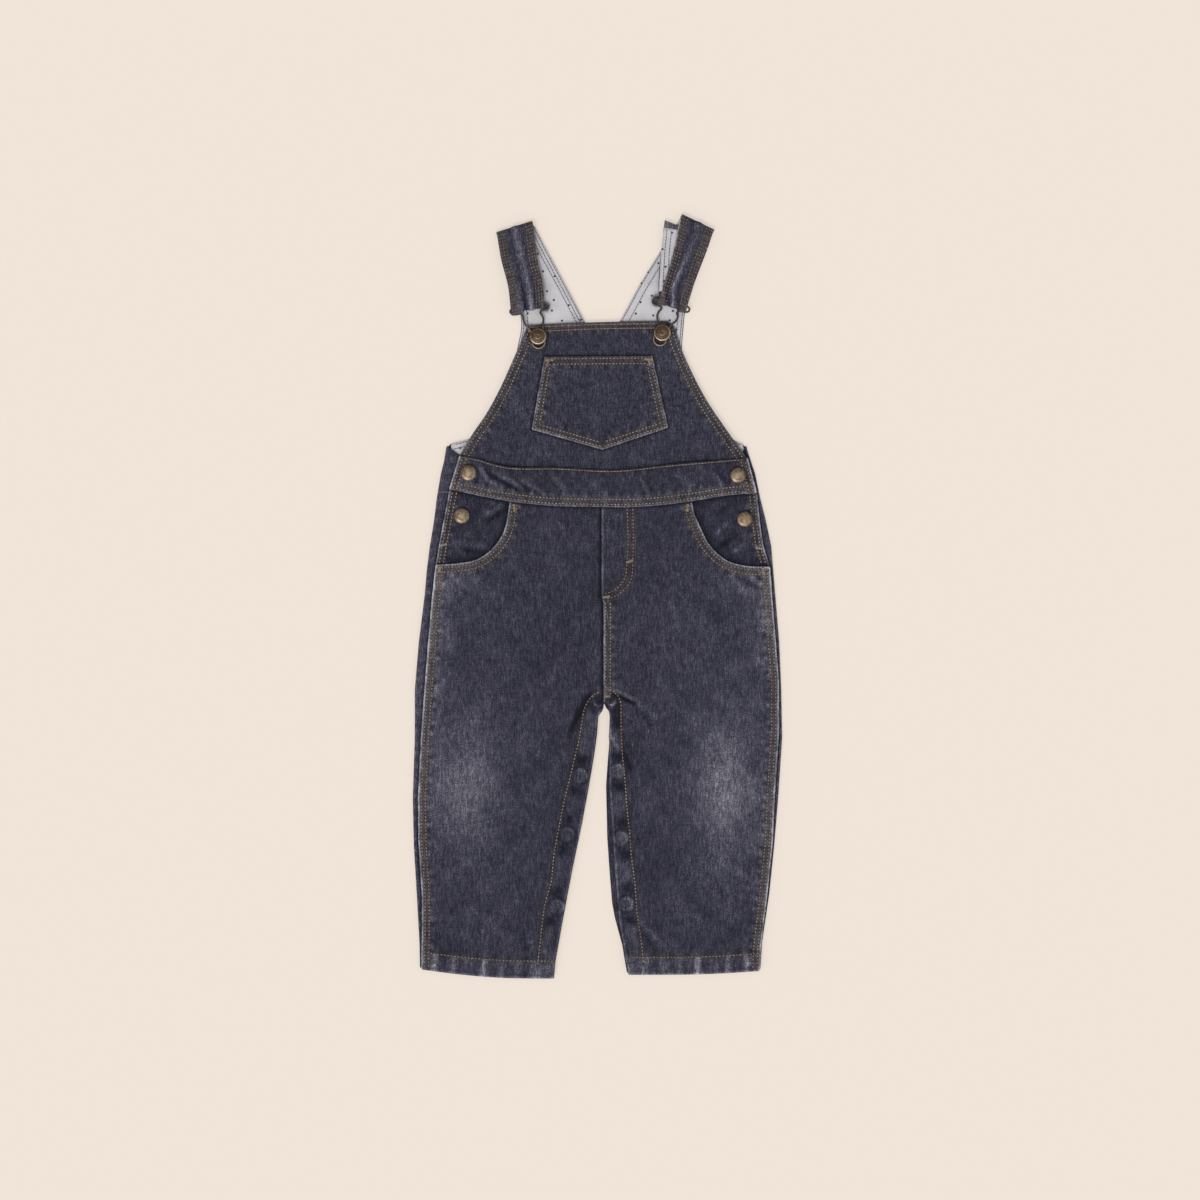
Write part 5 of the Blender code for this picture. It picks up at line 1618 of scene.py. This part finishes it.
def wrapped_looks(side, seed):
    """Paler and darker marks on the strip that shows beside the front, beaded like a seam, with painted
    shadow along the front's edge.
    """

    def looks(points):
        column, sign = side_of(side)
        x, _, past = wrap_side(points, side)
        edge = column_at(FRONT_SIDE_ROWS, points[:, 1], column)
        from_front = (x - edge) * sign
        past = past - math.pi * FOLD_RADIUS * 0.5
        beat = beat_of(points[:, 1], 8.0, seed)
        rim = bell(past - 0.8, 1.5)
        strip = (past > 0.5) * 1.0
        faded = np.interp(points[:, 1], (-200.0, -70.0, 20.0), (0.12, 0.26, 0.16))
        wear_and_light = 0.28 * rim * (0.5 + 0.5 * beat) + strip * (faded + 0.12 * beat)
        # Painted shade between the beads, and painted shadow along the front's edge.
        dark = strip * (0.2 * (1 - beat) ** 2 + 1.4 * bell(np.maximum(from_front, 0.0), 1.1))
        return wear_and_light + 0.05 * unevenness(points, 15.0, seed), dark

    return looks


def row_wear_and_shade(points, rows, strength):
    """Pale beads beside each row of stitches and a dark line of painted shade along it."""
    wear_and_light, dark = 0.0, 0.0
    for row in rows:
        off, at = along(points, row)
        wear_and_light = wear_and_light + strength * bell(off - 2.6, 1.8) * beat_of(at, 8.0, 4.0)
        dark = dark + 0.3 * bell(off, 1.4)
    return wear_and_light, dark


BACK_RISE_STITCHES = (1.6, 5.8)


def add_backs(material, thread):
    for side in ("left", "right"):
        column, sign = side_of(side)
        hem = curve_through(HEMS[side], COARSE) + (0.0, 1.0)
        hem_outer = hem[0][1]
        strip = unrolled_end(side, WAIST_SEAM_Y - GAP, hem_outer, 2.5)
        y = np.linspace(CROTCH_Y - 3.0, hem[-1][1], 90)
        inner_x = column_at(INSEAM_ROWS, y, column) + column_at(BACK_SHOW_ROWS, y, column)
        inseam = np.column_stack((inner_x, y))
        seam_x = clear_of_lap(side, CROTCH_SEAM_X)
        centre = dense(((seam_x, CROTCH_Y), (seam_x, WAIST_SEAM_Y - GAP)), COARSE)
        waist = wrap_edge(side, WAIST_SEAM_Y - GAP, WAIST_SEAM_Y - GAP)
        turn = wrap_edge(side, hem_outer, hem_outer)
        outline = joined(strip, turn, hem[1:-1], inseam[::-1], centre, waist[::-1])
        hem_row = curve_through(HEMS[side], 3.0) + (0.0, HEM_BAND)
        placket_row = curve_through(PLACKET_ROWS[side], 3.0)
        waist_y = WAIST_SEAM_Y - 2.0
        rows = [hem_row, placket_row, dense(((sign * 8.0, waist_y), (sign * 100.0, waist_y)), 3.0)]
        if side == "right":
            rows += [centre[::-1] + (row, 0.0) for row in BACK_RISE_STITCHES]

        def place(points, side=side, rows=rows):
            x, z, past = wrap_side(points, side)
            flat = past <= 0.0
            z = np.where(flat, underside(points, rows), z)
            top = past > math.pi * FOLD_RADIUS
            z = z + np.where(top, 0.10 * ripple(points[:, 1], 8.0, 2.0), 0.0)
            return np.column_stack((x, points[:, 1], np.minimum(z, 2 * FOLD_RADIUS + 0.12)))

        def looks(points, side=side, rows=rows, sign=sign):
            wear_and_light, dark = wrapped_looks(side, 2.0)(points)
            seat = bell(points[:, 0] - sign * 55.0, 40.0) * bell(points[:, 1] - 10.0, 50.0)
            wear_and_light, dark = total((wear_and_light, dark), row_wear_and_shade(points, rows, 0.22))
            return wear_and_light + 0.12 * seat, dark

        guides = wrap_guides(side, WAIST_SEAM_Y - 1.0, hem_outer + 1.0, 2.5, outline)
        guides += rows_inside(rows, outline, 1.2)
        add_sheet(f"back_{side}", outline, COARSE, place, looks, material, guides, rows, skin_out=True)
        sew_under(thread, rows, outline)


def back_bib_outline():
    strips = {side: unrolled_end(side, WRAP_END_Y, WAIST_SEAM_Y, 2.5) for side in ("left", "right")}
    neck_left = curve_through(NECK_LEFT, COARSE)
    neck_right = curve_through(NECK_RIGHT, COARSE)
    armhole_left = curve_through(ARMHOLE_LEFT, COARSE)
    armhole_right = curve_through(ARMHOLE_RIGHT, COARSE)
    return joined(
        strips["left"],
        wrap_edge("left", WAIST_SEAM_Y, WAIST_SEAM_Y),
        wrap_edge("right", WAIST_SEAM_Y, WAIST_SEAM_Y)[::-1],
        strips["right"][::-1],
        wrap_edge("right", WRAP_TOP_Y, SIDE_TOP_Y),
        armhole_right[::-1],
        neck_right,
        neck_left[::-1],
        armhole_left,
        wrap_edge("left", WRAP_TOP_Y, SIDE_TOP_Y)[::-1],
    )


BACK_BIB_STITCHES = (1.8, 5.6)


def add_back_bib(material, thread):
    outline = back_bib_outline()
    rows = [dense(((-98.0, WAIST_SEAM_Y + 2.0), (99.0, WAIST_SEAM_Y + 2.0)), 3.0)]
    for offset in BACK_BIB_STITCHES:
        rows.append(shifted(curve_through(NECK_LEFT, 3.0), -offset))
        rows.append(shifted(curve_through(NECK_RIGHT, 3.0), offset))
        rows.append(shifted(curve_through(ARMHOLE_LEFT[:-1], 3.0), offset))
        rows.append(shifted(curve_through(ARMHOLE_RIGHT[:-1], 3.0), -offset))

    def place(points):
        left_x, left_z, _ = wrap_side(points, "left")
        right_x, right_z, _ = wrap_side(points, "right")
        low = points[:, 1] < SIDE_TOP_Y + TUCK
        x = np.where(low & (points[:, 0] > 0), right_x, points[:, 0])
        x = np.where(low & (points[:, 0] < 0), left_x, x)
        z = np.where(low, np.maximum(left_z, right_z), 0.0)
        z = np.where(z < 0.01, underside(points, rows, 0.12), z)
        return np.column_stack((x, points[:, 1], z))

    def looks(points):
        left = wrapped_looks("left", 5.0)(points)
        right = wrapped_looks("right", 6.0)(points)
        side = (np.abs(points[:, 0]) > 100.0) & (points[:, 1] < 118.0)
        wear_and_light = np.where(side, np.maximum(left[0], right[0]), 0.06)
        dark = np.where(side, np.maximum(left[1], right[1]), 0.0)
        return total((wear_and_light, dark), row_wear_and_shade(points, rows, 0.2))

    guides = rows_inside(rows, outline, 1.2)
    for side in ("left", "right"):
        guides += wrap_guides(side, SIDE_TOP_Y, WAIST_SEAM_Y + 1.0, 2.5, outline)
    add_sheet("back_bib", outline, COARSE, place, looks, material, guides, rows, skin_out=True)
    sew_under(thread, rows, outline)


# Painted shadows on the lining inside the loops at the buckles' ends
CURL_SHADOWS = ((43.6, 220.6), (44.6, 223.4), (-39.2, 216.4))
CURL_SHADOW_RADIUS = 2.4
CURL_SHADOW_DEPTH = 4.0
LINING_STITCHES = {"neck": (1.2, 3.5, 5.9), "arm": (1.3, 4.4)}
# The lining's edges start a little further up the straps than the back bib's do
LINING_TOPS = {"necks": ((-47.2, 277.2), (61.3, 282.4)), "arms": ((-75.0, 268.4), (85.2, 270.6))}


def add_back_lining(material, dark_thread):
    def edges(tops, lower_points, inset):
        """The left and the right edge, drawn in by the inset."""
        lines = [curve_through((top,) + points[1:], LINING_STEP) for top, points in zip(tops, lower_points)]
        return lines[0] + (inset, 0.0), lines[1] - (inset, 0.0)

    arms = edges(LINING_TOPS["arms"], (ARMHOLE_LEFT, ARMHOLE_RIGHT), LINING_INSET)
    necks = edges(LINING_TOPS["necks"], (NECK_LEFT, NECK_RIGHT), 0.0)
    shoulders = [dense(ends, LINING_STEP) for ends in ((necks[0][0], arms[0][0]), (arms[1][0], necks[1][0]))]
    lower = dense(LINING_LOWER, COARSE)[1:-1]
    right_side = (arms[1][::-1], shoulders[1], necks[1])
    outline = joined(lower, *right_side, necks[0][::-1], shoulders[0], arms[0])
    rows = []
    for offset in LINING_STITCHES["neck"]:
        rows.append(shifted(necks[0], -offset))
        if offset != LINING_STITCHES["neck"][1]:
            rows.append(shifted(necks[1], offset))
    for offset in LINING_STITCHES["arm"]:
        rows += [shifted(arms[0], offset), shifted(arms[1], -offset)]
    fronts = [np.array(strap["front"]) for strap in STRAPS.values()]
    straps = [front[:, :2] for front in fronts] + [front[:, 2:] for front in fronts]
    bib_top = curve_through(BIB_TOP, 5.0)

    def place(points):
        z = LINING_REST + 0.12 + 0.12 * unevenness(points, 14.0, 4.0)
        for row in rows:
            z = z - 0.14 * bump_on_line(points, row[::2], 0.9)
        return np.column_stack((points, z))

    def looks(points):
        dark = 0.12 + 0.12 * unevenness(points, 16.0, 8.0)
        # Painted shade along the sunk rows.
        for row in rows:
            dark = dark + 0.2 * bump_on_line(points, row[::2], 0.8)
        # Painted shadow of the straps on the lining.
        for strap in straps:
            dark = dark + 0.45 * bump_on_line(points, strap, 5.0)
        # Painted shadows inside the loops at the buckles' ends.
        for curl in CURL_SHADOWS:
            dark = dark + CURL_SHADOW_DEPTH * bell(np.hypot(*(points - curl).T), CURL_SHADOW_RADIUS)
        # Painted shadow under the bib's top edge.
        dark = dark + 0.5 * contact_shadow(points, bib_top, 1.6)
        return np.zeros(len(points)), dark

    guides = rows_inside(rows, outline)
    add_sheet("back_lining", outline, LINING_STEP, place, looks, material, guides)
    sew(dark_thread, rows, place, outline, **CLOSE_SEWN)


TURN_STEPS = 12
STRAP_COLUMNS = 26
STRAP_STITCHES = (1.3, 3.2, 5.5)
STRAP_THREAD_Z = 0.38


def turn_stations(row, inward, radius, z_start, upward):
    """Half a turn about a strap's edge, from the height that it starts at."""
    left, right = np.array(row[:2]), np.array(row[2:])
    stations = []
    for k in range(TURN_STEPS + 1):
        angle = math.pi * k / TURN_STEPS
        shift = inward * radius * (1.0 - math.sin(angle))
        z = z_start + (radius - radius * math.cos(angle)) * upward
        stations.append((*(left + shift), z, *(right + shift), z))
    return stations


def strap_inward(row, towards):
    across = np.array((row[2] - row[0], row[3] - row[1]))
    normal = np.array((-across[1], across[0])) / np.hypot(*across)
    centre = np.array(((row[0] + row[2]) / 2, (row[1] + row[3]) / 2))
    return normal if normal @ (np.array(towards) - centre) > 0 else -normal


def raised(row, z):
    return np.array((row[0], row[1], z, row[2], row[3], z))


def strap_stations(strap):
    """Sections of the outer skin as left and right points in space, and each one's share of the face."""
    middle = strap["front"][0][:2]
    shoulder_in = strap_inward(strap["shoulder"], middle)
    shoulder = turn_stations(strap["shoulder"], shoulder_in, STRAP_TOP / 2, 0.0, 1)
    radius = (STRAP_TOP_AT_BUCKLE - RETURN_REST) / 2
    buckle_in = strap_inward(strap["turn"], middle)
    buckle = turn_stations(strap["turn"], buckle_in, radius, STRAP_TOP_AT_BUCKLE, -1)
    heights = np.linspace(STRAP_TOP, STRAP_TOP_AT_BUCKLE, len(strap["front"]) + 2)[1:-1]
    front = [raised(row, z) for row, z in zip(strap["front"], heights)]
    back = [raised(row, RETURN_REST) for row in strap["return"]]
    begin = dense((raised(strap["start"], 0.0), shoulder[0]), 3.0)
    face = curve_through([shoulder[-1]] + front + [buckle[0]], 2.4)
    under = curve_through([buckle[-1]] + back, 4.0)
    parts = [begin, np.array(shoulder[1:]), face[1:], np.array(buckle[1:]), under[1:]]
    shares = [np.full(len(begin), -1.0), np.zeros(TURN_STEPS), np.linspace(0.0, 1.0, len(face) - 1)]
    shares += [np.ones(TURN_STEPS), np.full(len(under) - 1, 2.0)]
    return np.vstack(parts), np.concatenate(shares)


def read_table(table, share, column=1):
    """A column of a table whose first one is the share of the strap's face."""
    rows = np.array(table)
    return np.interp(share, rows[:, 0], rows[:, column])


def strap_face(strap, share, travelled, width, height, columns):
    """Relief, and the pale, dark and brown shares, at each station and column of a strap: the pale share
    partly rubbed cloth and partly painted highlight, the dark share mostly painted shade.
    """
    edge = np.minimum(columns, 1 - columns) * width
    off = (columns - read_table(strap["crease"], share)) * width
    on_face = ((share >= 0.0) & (share <= 1.0)) * np.clip(height / STRAP_TOP, 0.0, 1.0)
    gather = np.clip((share - 0.55) / 0.45, 0.0, 1.0) * (share <= 1.0)
    lift = 0.75 * bell(off, 2.2) - 0.35 * bell(off + 4.2, 1.6) * (0.4 + gather)
    lift = lift + (0.45 * bell(off + 7.5, 2.0) + 0.35 * bell(off - 6.0, 1.8)) * gather
    for row in STRAP_STITCHES:
        lift = lift - 0.16 * bell(edge - row, 0.8)
    lift = lift + 0.12 * ripple(travelled, 7.0, 3.0) * bell(edge, 5.0)
    # Painted highlight along the crease's ridge and the gathered fold beside it, partly rubbed cloth too.
    ridge = bell(off, read_table(strap["ridge"], share, 2)) * read_table(strap["ridge"], share)
    ridge = ridge + 0.4 * gather * bell(off + 7.5, 1.8)
    left_rim, right_rim = (read_table(strap["rims"], share, column) for column in (1, 2))
    rim = bell(edge, 0.9) * np.where(columns < 0.5, left_rim, right_rim)
    band = 1.0 / (1.0 + np.exp((edge - 6.6) * 3.0))
    hem = 0.5 * (share > 1.0) * (travelled[-1] - travelled < 9.0)
    wear_and_light = (1.0 - band) * 0.24 + 0.55 * ridge + rim
    wear_and_light = wear_and_light + band * (0.10 + 0.10 * beat_of(travelled, 7.0, 3.0)) + hem
    # Painted shade at the foot of the crease on both sides, deeper where the cloth gathers towards the
    # buckle.
    foot = bell(off + 4.4, 1.8) + 0.7 * bell(off - 4.4, 1.6)
    return on_face * lift, wear_and_light, foot * (0.35 + 0.8 * gather) + 0.1 * band, band


def add_straps(material, thread):
    columns = np.linspace(0.0, 1.0, STRAP_COLUMNS + 1)
    for side, strap in STRAPS.items():
        stations, share = strap_stations(strap)
        left, right = stations[:, :3], stations[:, 3:]
        across = right - left
        width = np.linalg.norm(across, axis=1)
        last = len(stations) - 1
        middle = (left + right) / 2
        travelled = np.concatenate(((0.0,), np.cumsum(np.linalg.norm(np.diff(middle, axis=0), axis=1))))
        outward = np.cross(np.gradient(middle, axis=0), across)
        outward /= np.linalg.norm(outward, axis=1)[:, None]
        if outward[np.argmax(share > 0.1)][2] < 0:
            outward = -outward
        upright = [values[:, None] for values in (share, travelled, width, middle[:, 2])]
        lift, wear_and_light, dark, warm = strap_face(strap, *upright, columns)
        skin = left[:, None] + across[:, None] * columns[None, :, None]
        inward = np.append(strap_inward(strap["turn"], strap["front"][0][:2]), 0.0)
        for reach, amount in zip(strap["bulge"], (1.0 - columns, columns)):
            corner = np.clip((amount - 0.6) / 0.2, 0.0, 1.0) * (share == 1.0)[:, None]
            skin = skin - corner[:, :, None] * reach * inward
        skin = skin + lift[:, :, None] * outward[:, None, :]
        shape = bmesh.new()
        bmesh.ops.create_grid(shape, x_segments=STRAP_COLUMNS, y_segments=last, size=1.0)
        spots = []
        for vert in shape.verts:
            station = round((vert.co.y + 1.0) / 2 * last)
            spots.append((station, round((vert.co.x + 1.0) / 2 * STRAP_COLUMNS)))
            vert.co = centred(*skin[spots[-1]])
        mesh = bpy.data.meshes.new(f"strap_{side}")
        shape.to_mesh(mesh)
        shape.free()
        for name, values in (("wear_and_highlight", wear_and_light), ("shade", dark), ("warm", warm)):
            set_values(mesh, name, [values[spot] for spot in spots])
        mesh.update()
        middle_face = mesh.polygons[int(np.argmax(share > 0.4)) * STRAP_COLUMNS + STRAP_COLUMNS // 2]
        if middle_face.normal.z < 0:
            mesh.flip_normals()
        item = add_cloth(f"strap_{side}", mesh, material, -1.0)
        shown = share <= 1.0
        for offset in STRAP_STITCHES:
            for part in (offset / width, 1 - offset / width):
                line = left + across * part[:, None] + outward * -0.12
                line[:, 2] = np.maximum(line[:, 2], STRAP_THREAD_Z)
                thread.run(line[shown], up=outward[shown])


END_STITCHES = (2.8, 5.3)
END_LINING_STITCHES = (2.7, 6.1)


def add_strap_end_lining(material, dark_thread, thread):
    top, bottom = END_LINING_ROWS[0][0], END_LINING_ROWS[-1][0]
    left, right = (rows_line(END_LINING_ROWS, column, top, bottom, LINING_STEP) for column in (1, 2))
    left[0][1] += 3.0
    ends = [dense(pair, LINING_STEP) for pair in ((left[-1], right[-1]), (right[0], left[0]))]
    outline = joined(left, ends[0], right[::-1], ends[1])

    def place(points):
        return np.column_stack((points, np.full(len(points), RETURN_REST + LAP + 0.05)))

    def looks(points):
        return np.zeros(len(points)), np.full(len(points), 0.15)

    add_sheet("strap_end_lining_right", outline, LINING_STEP, place, looks, material)
    rows = [left + (offset, 0.0) for offset in END_LINING_STITCHES]
    sew(dark_thread, rows, place, outline, **CLOSE_SEWN)
    end = np.array(STRAPS["right"]["return"][-1])
    across = (end[2:] - end[:2]) / np.hypot(*(end[2:] - end[:2]))
    for offset in END_STITCHES:
        first = end[:2] + (0.3, -offset)
        spots = [first + across * s for s in np.arange(0.0, 12.0, 1.5)]
        thread.run([(*spot, RETURN_REST + CLOTH) for spot in spots], extra=0.1)


# Points of the wire that are surely past its start
PAST_START = 20
LOBE_STEPS = 8


def add_buckles(material):
    for side, buckle in BUCKLES.items():
        lobe_x, lobe_y, lobe_radius = buckle["lobe"]
        points = [(*point, BAR_Z) for point in np.linspace(*buckle["bar"], 4)]
        points += buckle["left side"]
        for k in range(LOBE_STEPS + 1):
            angle = math.radians(175.0 + 190.0 * k / LOBE_STEPS)
            x = lobe_x + lobe_radius * math.cos(angle)
            points.append((x, lobe_y + lobe_radius * math.sin(angle), KEYHOLE_Z))
        points += buckle["right side"]
        rounded = curve_through(points[-3:] + points + points[:3], 0.7)
        from_start = np.linalg.norm(rounded - np.array(points[0]), axis=1)
        first = int(np.argmin(from_start))
        second = first + PAST_START
        loop = rounded[first:second + int(np.argmin(from_start[second:]))]
        data = bpy.data.curves.new(f"buckle_{side}_wire", "CURVE")
        data.dimensions = "3D"
        data.bevel_depth = WIRE_RADIUS * MM
        data.bevel_resolution = 3
        spline = data.splines.new("POLY")
        spline.points.add(len(loop) - 1)
        for target, point in zip(spline.points, loop):
            target.co = (*centred(*point), 1.0)
        spline.use_cyclic_u = True
        spline.use_smooth = True
        data.materials.append(material)
        item = bpy.data.objects.new(f"buckle_{side}_wire", data)
        bpy.context.scene.collection.objects.link(item)
        dress(item, "wire", f"buckle_{side}")


# Turned profile of a button's face: share of the radius, height over the cap's underside, tone. The tone
# paints highlights: bright rims on the ringed faces and a bright top on the domes.
BUTTON_FACE = (
    (0.0, 1.50, 0.30), (0.20, 1.52, 0.32), (0.27, 1.66, 0.55), (0.33, 1.68, 0.62), (0.39, 1.50, 0.25),
    (0.52, 1.50, 0.30), (0.60, 1.55, 0.36), (0.66, 1.42, 0.12), (0.71, 1.34, 0.05), (0.76, 1.40, 0.25),
    (0.82, 1.52, 0.75), (0.88, 1.48, 0.9), (0.94, 1.26, 0.7), (0.985, 0.94, 0.45), (1.0, 0.64, 0.25),
    (0.985, 0.30, 0.1), (0.94, 0.06, 0.05), (0.86, 0.0, 0.0),
)
DOME_FACE = (
    (0.0, 1.68, 0.72), (0.14, 1.675, 0.7), (0.28, 1.64, 0.64), (0.42, 1.57, 0.6), (0.50, 1.52, 0.5),
    (0.54, 1.51, 0.42), (0.58, 1.49, 0.55), (0.68, 1.38, 0.52), (0.78, 1.22, 0.5), (0.86, 1.03, 0.46),
    (0.93, 0.80, 0.42), (0.98, 0.55, 0.36), (1.0, 0.36, 0.3), (0.985, 0.18, 0.15), (0.94, 0.05, 0.05),
    (0.86, 0.0, 0.0),
)
BUTTON_STEPS = 48
NECK_RADIUS = 2.2
# Angle of the side where the bib buttons' painted highlight is brightest
GLINT_SIDE = -1.3


def add_buttons(material):
    for name, x, y, radius, cloth_top, neck in BUTTONS:
        foot = cloth_top + GAP
        under = foot + neck
        face = BUTTON_FACE if name.startswith("bib") else DOME_FACE
        profile = [(share * radius, under + height, tone) for share, height, tone in face]
        profile += [(NECK_RADIUS, under, 0.0), (NECK_RADIUS, foot, 0.0), (0.0, foot, 0.0)]
        points, faces, tones = [], [], []
        rings = []
        for ring_radius, z, tone in profile:
            if ring_radius == 0.0:
                rings.append([len(points)])
                points.append(centred(x, y, z))
                tones.append(tone)
                continue
            ring = []
            for k in range(BUTTON_STEPS):
                angle = 2 * math.pi * k / BUTTON_STEPS
                ring.append(len(points))
                spot = (x + ring_radius * math.cos(angle), y + ring_radius * math.sin(angle))
                points.append(centred(*spot, z))
                # Bib buttons get a painted highlight, brightest on one side.
                wear_and_light = 0.62 + 0.38 * math.cos(angle - GLINT_SIDE) if name.startswith("bib") else 1.0
                tones.append(tone * wear_and_light)
            rings.append(ring)
        for upper, lower in zip(rings[:-1], rings[1:]):
            for k in range(BUTTON_STEPS):
                after = (k + 1) % BUTTON_STEPS
                if len(upper) == 1:
                    faces.append((upper[0], lower[k], lower[after]))
                elif len(lower) == 1:
                    faces.append((upper[k], lower[0], upper[after]))
                else:
                    faces.append((upper[k], lower[k], lower[after], upper[after]))
        mesh = bpy.data.meshes.new(f"{name}_metal")
        mesh.from_pydata(points, [], faces)
        set_values(mesh, "tone", tones)
        mesh.shade_smooth()
        dress(new_object(f"{name}_metal", mesh, material), "brass", name)


SKY_STOPS = ((0.0, (0.22, 0.22, 0.24)), (0.5, (0.60, 0.60, 0.60)), (0.85, (1.0, 0.99, 0.97)))


def add_world():
    """Even studio light, a little stronger from the hem's side, and a large soft key."""
    scene = bpy.context.scene
    scene.view_settings.view_transform = "Standard"
    world = bpy.data.worlds.new("studio")
    world.use_nodes = True
    scene.world = world
    tree = world.node_tree
    background = tree.nodes["Background"]
    direction = tree.nodes.new("ShaderNodeTexCoord").outputs["Generated"]
    split = add_node(tree, "SeparateXYZ", {0: direction})
    level = plus(tree, weighted(tree, split.outputs["Y"], -0.5, split.outputs["Z"], 0.32), 0.34)
    feed(tree, background, {"Color": ramp(tree, level, SKY_STOPS), "Strength": 1.03})
    sun = bpy.data.lights.new("key", "SUN")
    sun.energy = 1.1
    sun.angle = math.radians(16.0)
    lamp = bpy.data.objects.new("key", sun)
    lamp.rotation_euler = Vector((0.3, 0.6, -1.0)).to_track_quat("-Z", "Y").to_euler()
    scene.collection.objects.link(lamp)


FLOOR_COLOUR = (0.879, 0.783, 0.694, 1.0)
FLOOR_SIZE = 8.0
FLOOR_Z = -0.0001
# Share of the floor's light that no shadow reaches, as on a lit table
FLOOR_GLOW = 0.6


def add_floor():
    shape = bmesh.new()
    bmesh.ops.create_grid(shape, x_segments=4, y_segments=4, size=FLOOR_SIZE / 2)
    mesh = bpy.data.meshes.new("floor")
    shape.to_mesh(mesh)
    shape.free()
    material, tree, shader, coordinates = new_material("floor", 0.95)
    lit = (*((1.0 - FLOOR_GLOW) * value for value in FLOOR_COLOUR[:3]), 1.0)
    glow = {"Emission Color": FLOOR_COLOUR, "Emission Strength": FLOOR_GLOW}
    feed(tree, shader, {"Base Color": lit, **glow, "Specular IOR Level": 0.0})
    floor = new_object("floor", mesh, material)
    floor.location.z = FLOOR_Z


# The photograph is 1200 pixels square at 0.75 mm a pixel, and the tables' origin is at this pixel of it
PIXEL = 0.75
FRAME_PIXELS = 1200
ORIGIN_PIXEL = (598, 596)
CAMERA_HEIGHT = 2200.0
SENSOR = 36.0


def add_camera():
    data = bpy.data.cameras.new("camera")
    data.sensor_width = SENSOR
    data.lens = SENSOR * CAMERA_HEIGHT / (FRAME_PIXELS * PIXEL)
    camera = bpy.data.objects.new("camera", data)
    right = FRAME_PIXELS / 2 - ORIGIN_PIXEL[0]
    up = ORIGIN_PIXEL[1] - FRAME_PIXELS / 2
    camera.location = centred(right * PIXEL, up * PIXEL, CAMERA_HEIGHT)
    bpy.context.scene.collection.objects.link(camera)
    bpy.context.scene.camera = camera


def dress_snaps(material):
    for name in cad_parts:
        if name.startswith("snap_"):
            node = bpy.data.objects[name]
            node.data.materials.clear()
            node.data.materials.append(material)


BRASS_TONES = ((0.022, 0.013, 0.007), (0.13, 0.088, 0.056), (0.62, 0.49, 0.36))


def main():
    denim = denim_material()
    lining = lining_material()
    tan = thread_material("tan_thread", (0.160, 0.114, 0.080), (0.345, 0.315, 0.297))
    brown = thread_material("brown_thread", (0.10, 0.075, 0.066), (0.22, 0.19, 0.182))
    grey = thread_material("grey_thread", (0.06, 0.06, 0.075), (0.16, 0.16, 0.185))
    # Painted shade in the needle holes: dark domes between the stitches.
    hole_shade, tree, shader, coordinates = new_material("needle_hole_shade", 1.0)
    feed(tree, shader, {"Base Color": (0.009, 0.008, 0.012, 1.0)})
    brass = metal_material("aged_brass", *BRASS_TONES, 0.36)
    wire = wire_material()
    legs_thread = StitchPile("leg_stitches", tan, hole_shade, 0.42)
    under_thread = StitchPile("underside_stitches", tan, hole_shade, 0.3)
    body_thread = StitchPile("body_stitches", tan, hole_shade, 0.42)
    strap_thread = StitchPile("strap_stitches", brown, hole_shade, 0.38)
    lining_thread = StitchPile("lining_stitches", grey, hole_shade, 0.26)
    add_backs(denim, under_thread)
    add_back_bib(denim, under_thread)
    add_back_lining(lining, lining_thread)
    add_facings(denim, legs_thread)
    add_fronts(denim, legs_thread)
    bib_outline = add_bib(denim, body_thread)
    add_waist_panel(denim, body_thread)
    add_bib_pocket(denim, body_thread, bib_outline)
    add_straps(denim, strap_thread)
    add_strap_end_lining(lining, lining_thread, strap_thread)
    for pile in (legs_thread, under_thread, body_thread, strap_thread):
        pile.build("denim")
    lining_thread.build("lining")
    add_buckles(wire)
    add_buttons(brass)
    dress_snaps(wire)
    add_world()
    add_floor()
    add_camera()


main()
